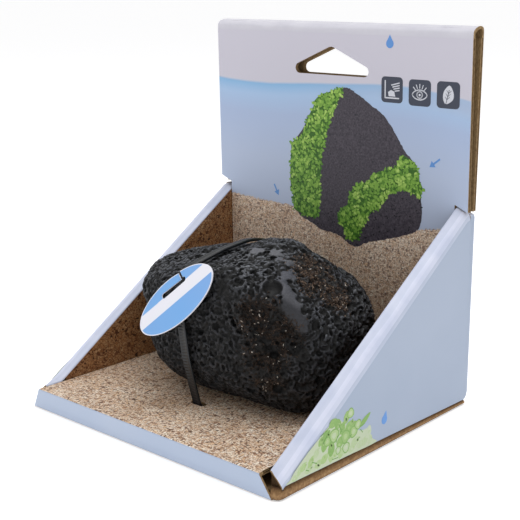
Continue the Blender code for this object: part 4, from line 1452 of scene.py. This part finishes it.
def tag_material(centre):
    """Coated card, printed blue with one pale band along it, and a white rim line painted on as the edge's
    highlight.
    """
    made, tree, shader = material("coated_card_tag", Roughness=0.4, Specular_IOR_Level=0.4)
    point = place_mm(tree)
    long_axis, short_axis, _ = tag_axes()
    from_centre = add(tree, "VectorMath", {0: point, 1: tuple(centre)}, operation="SUBTRACT").outputs[0]
    rise = add(tree, "VectorMath", {0: from_centre, 1: tuple(short_axis)}, operation="DOT_PRODUCT").outputs[1]
    run = add(tree, "VectorMath", {0: from_centre, 1: tuple(long_axis)}, operation="DOT_PRODUCT").outputs[1]
    low = add(tree, "MapRange", {0: rise, 1: -0.75, 2: -0.6}).outputs[0]
    high = add(tree, "MapRange", {0: rise, 1: 3.9, 2: 3.75}).outputs[0]
    band = add(tree, "Math", {0: low, 1: high}, operation="MULTIPLY").outputs[0]
    share = add(tree, "MapRange", {0: run, 1: -TAG_LENGTH / 2, 2: TAG_LENGTH / 2}).outputs[0]
    blue = add(tree, "ValToRGB", {0: share}, ramp=(
        (0.0, "#7DAEE6"), (0.5, "#79AFE9"), (1.0, "#83AEE6"))).outputs[0]
    long_share = add(tree, "Math", {0: run, 1: TAG_LENGTH / 2}, operation="DIVIDE").outputs[0]
    short_share = add(tree, "Math", {0: rise, 1: TAG_BREADTH / 2}, operation="DIVIDE").outputs[0]
    long_square = add(tree, "Math", {0: long_share, 1: 2.0}, operation="POWER").outputs[0]
    radius = add(tree, "Math", {0: short_share, 1: short_share, 2: long_square}, operation="MULTIPLY_ADD")
    # A white line round the card's rim: a painted highlight along the edge.
    rim = add(tree, "MapRange", {0: radius.outputs[0], 1: 0.93, 2: 0.97}).outputs[0]
    white = add(tree, "Math", {0: band, 1: rim}, operation="MAXIMUM").outputs[0]
    shown = add(tree, "Mix", {0: white, 6: blue, 7: "#ECECF5"}, data_type="RGBA").outputs[2]
    tooth = add(tree, "TexNoise", {"Vector": point, "Scale": 3.0, "Detail": 3.0}).outputs[0]
    dress(tree, shader, shown, tooth, 0.08, 0.05)
    return made


def tag_outline():
    """An oval, open through a slit into a slot with round ends."""
    half = TAG_LENGTH / 2
    start = math.acos(TAG_SLIT[1] / half)
    stop = math.acos(TAG_SLIT[0] / half) - 2 * math.pi
    outline = [(half * math.cos(t), TAG_BREADTH / 2 * math.sin(t)) for t in np.linspace(start, stop, 110)]
    outline.append((TAG_SLIT[0] + 0.1, TAG_SLOT_RISE + TAG_SLOT_HALF))
    for centre, turn in ((TAG_SLOT[0] + TAG_SLOT_HALF, 90), (TAG_SLOT[1] - TAG_SLOT_HALF, 270)):
        for t in np.radians(np.linspace(turn, turn + 180, 11)):
            outline.append((centre + TAG_SLOT_HALF * math.cos(t), TAG_SLOT_RISE + TAG_SLOT_HALF * math.sin(t)))
    outline.append((TAG_SLIT[1] + 0.15, TAG_SLOT_RISE + TAG_SLOT_HALF))
    return outline


def tag(card_edge):
    """The card on the strap, the tongue above its slot bent back."""
    long_axis, short_axis, behind = tag_axes()
    points = node_points("tag")
    along = points @ long_axis
    rise = points @ short_axis
    behind_at = points @ behind
    middle = long_axis * (along.max() - TAG_LENGTH / 2)
    middle = middle + short_axis * (rise.min() - 0.6 + TAG_BREADTH / 2) + behind * behind_at.min()
    front = []
    for a, b in tag_outline():
        bend = 0.0
        if b > TAG_SLOT_RISE and TAG_SLOT[0] < a < sum(TAG_SLIT) / 2:
            bend = 0.7 * ((a - TAG_SLOT[0]) / (TAG_SLIT[0] - TAG_SLOT[0])) ** 2
        front.append(middle + long_axis * a + short_axis * b + behind * bend)
    back = [point + behind * TAG_CARD for point in front]
    shell = Shell()
    count = len(front)
    sides = [(i, (i + 1) % count, (i + 1) % count + count, i + count) for i in range(count)]
    faces = [tuple(range(count)), tuple(range(2 * count - 1, count - 1, -1))] + sides
    shell.add(front + back, faces, [0, 0] + [1] * count)
    piece("oval_tag", shell, [tag_material(middle), card_edge], replaces=("tag",), smooth=30)


# Stage

CAMERA_TURN = (41.66246, 14.45382, -0.25899)            # degrees left, down and over
CAMERA_PLACE = (0.25952, -0.28563, 0.15520)             # metres
SOFTBOXES = (                                           # name, place, size, power
    ("key_softbox", (-0.35, -0.35, 0.95), 0.6, 1.3),
    ("fill_softbox", (0.75, -0.45, 0.45), 0.8, 0.5),
    ("top_softbox", (0.1, 0.15, 0.95), 0.5, 3.6),
)


def pale_floor():
    """A wide matt sheet just under the carton."""
    mesh = bpy.data.meshes.new("stage_floor")
    reach = 12.0
    mesh.from_pydata([(-reach, -reach, 0), (reach, -reach, 0), (reach, reach, 0), (-reach, reach, 0)], [],
                     [(0, 1, 2, 3)])
    mesh.materials.append(material("pale_floor", Base_Color="#F7F7F8", Roughness=0.9, Specular_IOR_Level=0.1,
                                   Emission_Color="#FFFFFF", Emission_Strength=0.4)[0])
    floor = bpy.data.objects.new("stage_floor", mesh)
    floor.location.z = -0.0003
    bpy.context.scene.collection.objects.link(floor)


def soft_light():
    """An even white room with three softboxes."""
    world = bpy.data.worlds.new("studio")
    world.use_nodes = True
    background = world.node_tree.nodes["Background"]
    background.inputs["Color"].default_value = (1.0, 1.0, 1.0, 1.0)
    background.inputs["Strength"].default_value = 0.62
    bpy.context.scene.world = world
    aim = Vector((0.0, 0.0, 0.04))
    for name, place, size, power in SOFTBOXES:
        lamp = bpy.data.lights.new(name, "AREA")
        lamp.size = size
        lamp.energy = power
        light = bpy.data.objects.new(name, lamp)
        light.location = place
        light.rotation_euler = (aim - Vector(place)).to_track_quat("-Z", "Y").to_euler()
        bpy.context.scene.collection.objects.link(light)


def camera_view():
    """A long lens from the front right, a little above."""
    yaw, pitch, roll = (math.radians(angle) for angle in CAMERA_TURN)
    ahead = Vector((-math.sin(yaw) * math.cos(pitch), math.cos(yaw) * math.cos(pitch), -math.sin(pitch)))
    level = Vector((math.cos(yaw), math.sin(yaw), 0.0))
    rise = level.cross(ahead)
    right = level * math.cos(roll) + rise * math.sin(roll)
    top = rise * math.cos(roll) - level * math.sin(roll)
    data = bpy.data.cameras.new("camera")
    data.lens = 76.43
    data.sensor_width = 36.0
    data.clip_start = 0.01
    camera = bpy.data.objects.new("camera", data)
    rows = [(right[k], top[k], -ahead[k], CAMERA_PLACE[k]) for k in range(3)]
    camera.matrix_world = Matrix((*rows, (0.0, 0.0, 0.0, 1.0)))
    bpy.context.scene.collection.objects.link(camera)
    bpy.context.scene.camera = camera
    bpy.context.scene.view_settings.view_transform = "Standard"


def build():
    """The boards, their printed pictures, the rock with its seeds, the tie, the tag and the stage."""
    kraft = kraft_paper("kraft_liner", ("#5F4C36", "#826A4A", "#9A815D", "#B19872"))
    boards = {
        "kraft": kraft,
        "gusset": flat_print("offset_print_gusset", "#A2AEC2", "#9BA8BD", crease=("#C9CFE4", "#D6DAEC")),
        "lip": flat_print("offset_print_lip", "#AEBACE", "#A6B4CB"),
        "roll": flat_print("offset_print_roll", "#CBC9D3", "#C5C3CF", crease=("#CBCAD3", "#D9D8DF")),
        "floor": sand_print("offset_print_gravel", "#FFFFFF"),
        # The lining's gravel is multiplied darker and browner: painted shade for the walls inside the tray.
        "lining": sand_print("offset_print_gravel_lining", "#BC9C7A"),
        "edge": kraft_paper("kraft_fold_painted_shade", ("#73573C", "#92714F", "#A7865F", "#BD9D76"), turned=True),
    }
    back_print = flat_print("offset_print_back", "#B5C3D6", "#ABBBD1")
    front_lip(boards)
    for side in ("left", "right"):
        gusset(side, boards)
    header_roll(boards)
    board("base_board", "base_panel", (0, 0, -1), (0, 1, 0), [back_print, kraft], inset=1.0)
    board("floor_board", "floor_panel", (0, 0, 1), (0, 1, 0), [boards["floor"], kraft])
    board("header_front_board", "header_front_panel", (0, -1, 0), (0, 0, 1), [header_print(), kraft])
    board("header_back_board", "header_back_panel", (0, 1, 0), (0, 0, 1), [back_print, kraft])

    inks = {
        "stone": speckled("ink_stone", ("#08080B", "#141319", "#25232A", "#35313A", "#544E57"), 0.45,
                          spread=0.7),
        "moss": speckled("ink_moss", ("#1B3612", "#3F7021", "#679636", "#88B24A", "#B0CF6C"), 0.45),
        "wash": speckled("ink_wash", ("#4E8046", "#69984A", "#84AA5D", "#A3BD80", "#B8C5A6", "#C1C8B5"), 0.45),
        "sign": speckled("ink_slate", ("#3A3F4C", "#3F4452", "#454A58"), 0.42),
        "pale": speckled("ink_pale", ("#DADBE2", "#D2D4DC", "#C9CCD6"), 0.42),
        "blue": speckled("ink_blue", ("#5588C8", "#5E90D0", "#6A9AD8"), 0.42),
    }
    header_pictures(inks)
    for side in ("left", "right"):
        wall_pictures(side, inks)

    points, triangles, pit = lava_rock(scoria())
    husk = speckled("seed_husk", ("#110D0A", "#2A1F17", "#554235", "#877260", "#DAD3C9"), 0.6)
    seeds(points, triangles, pit, husk)
    cable_tie(nylon())
    tag(speckled("card_edge", ("#E6E6EE", "#DADBE6", "#D0D2DE"), 0.7))
    pale_floor()
    soft_light()
    camera_view()


build()
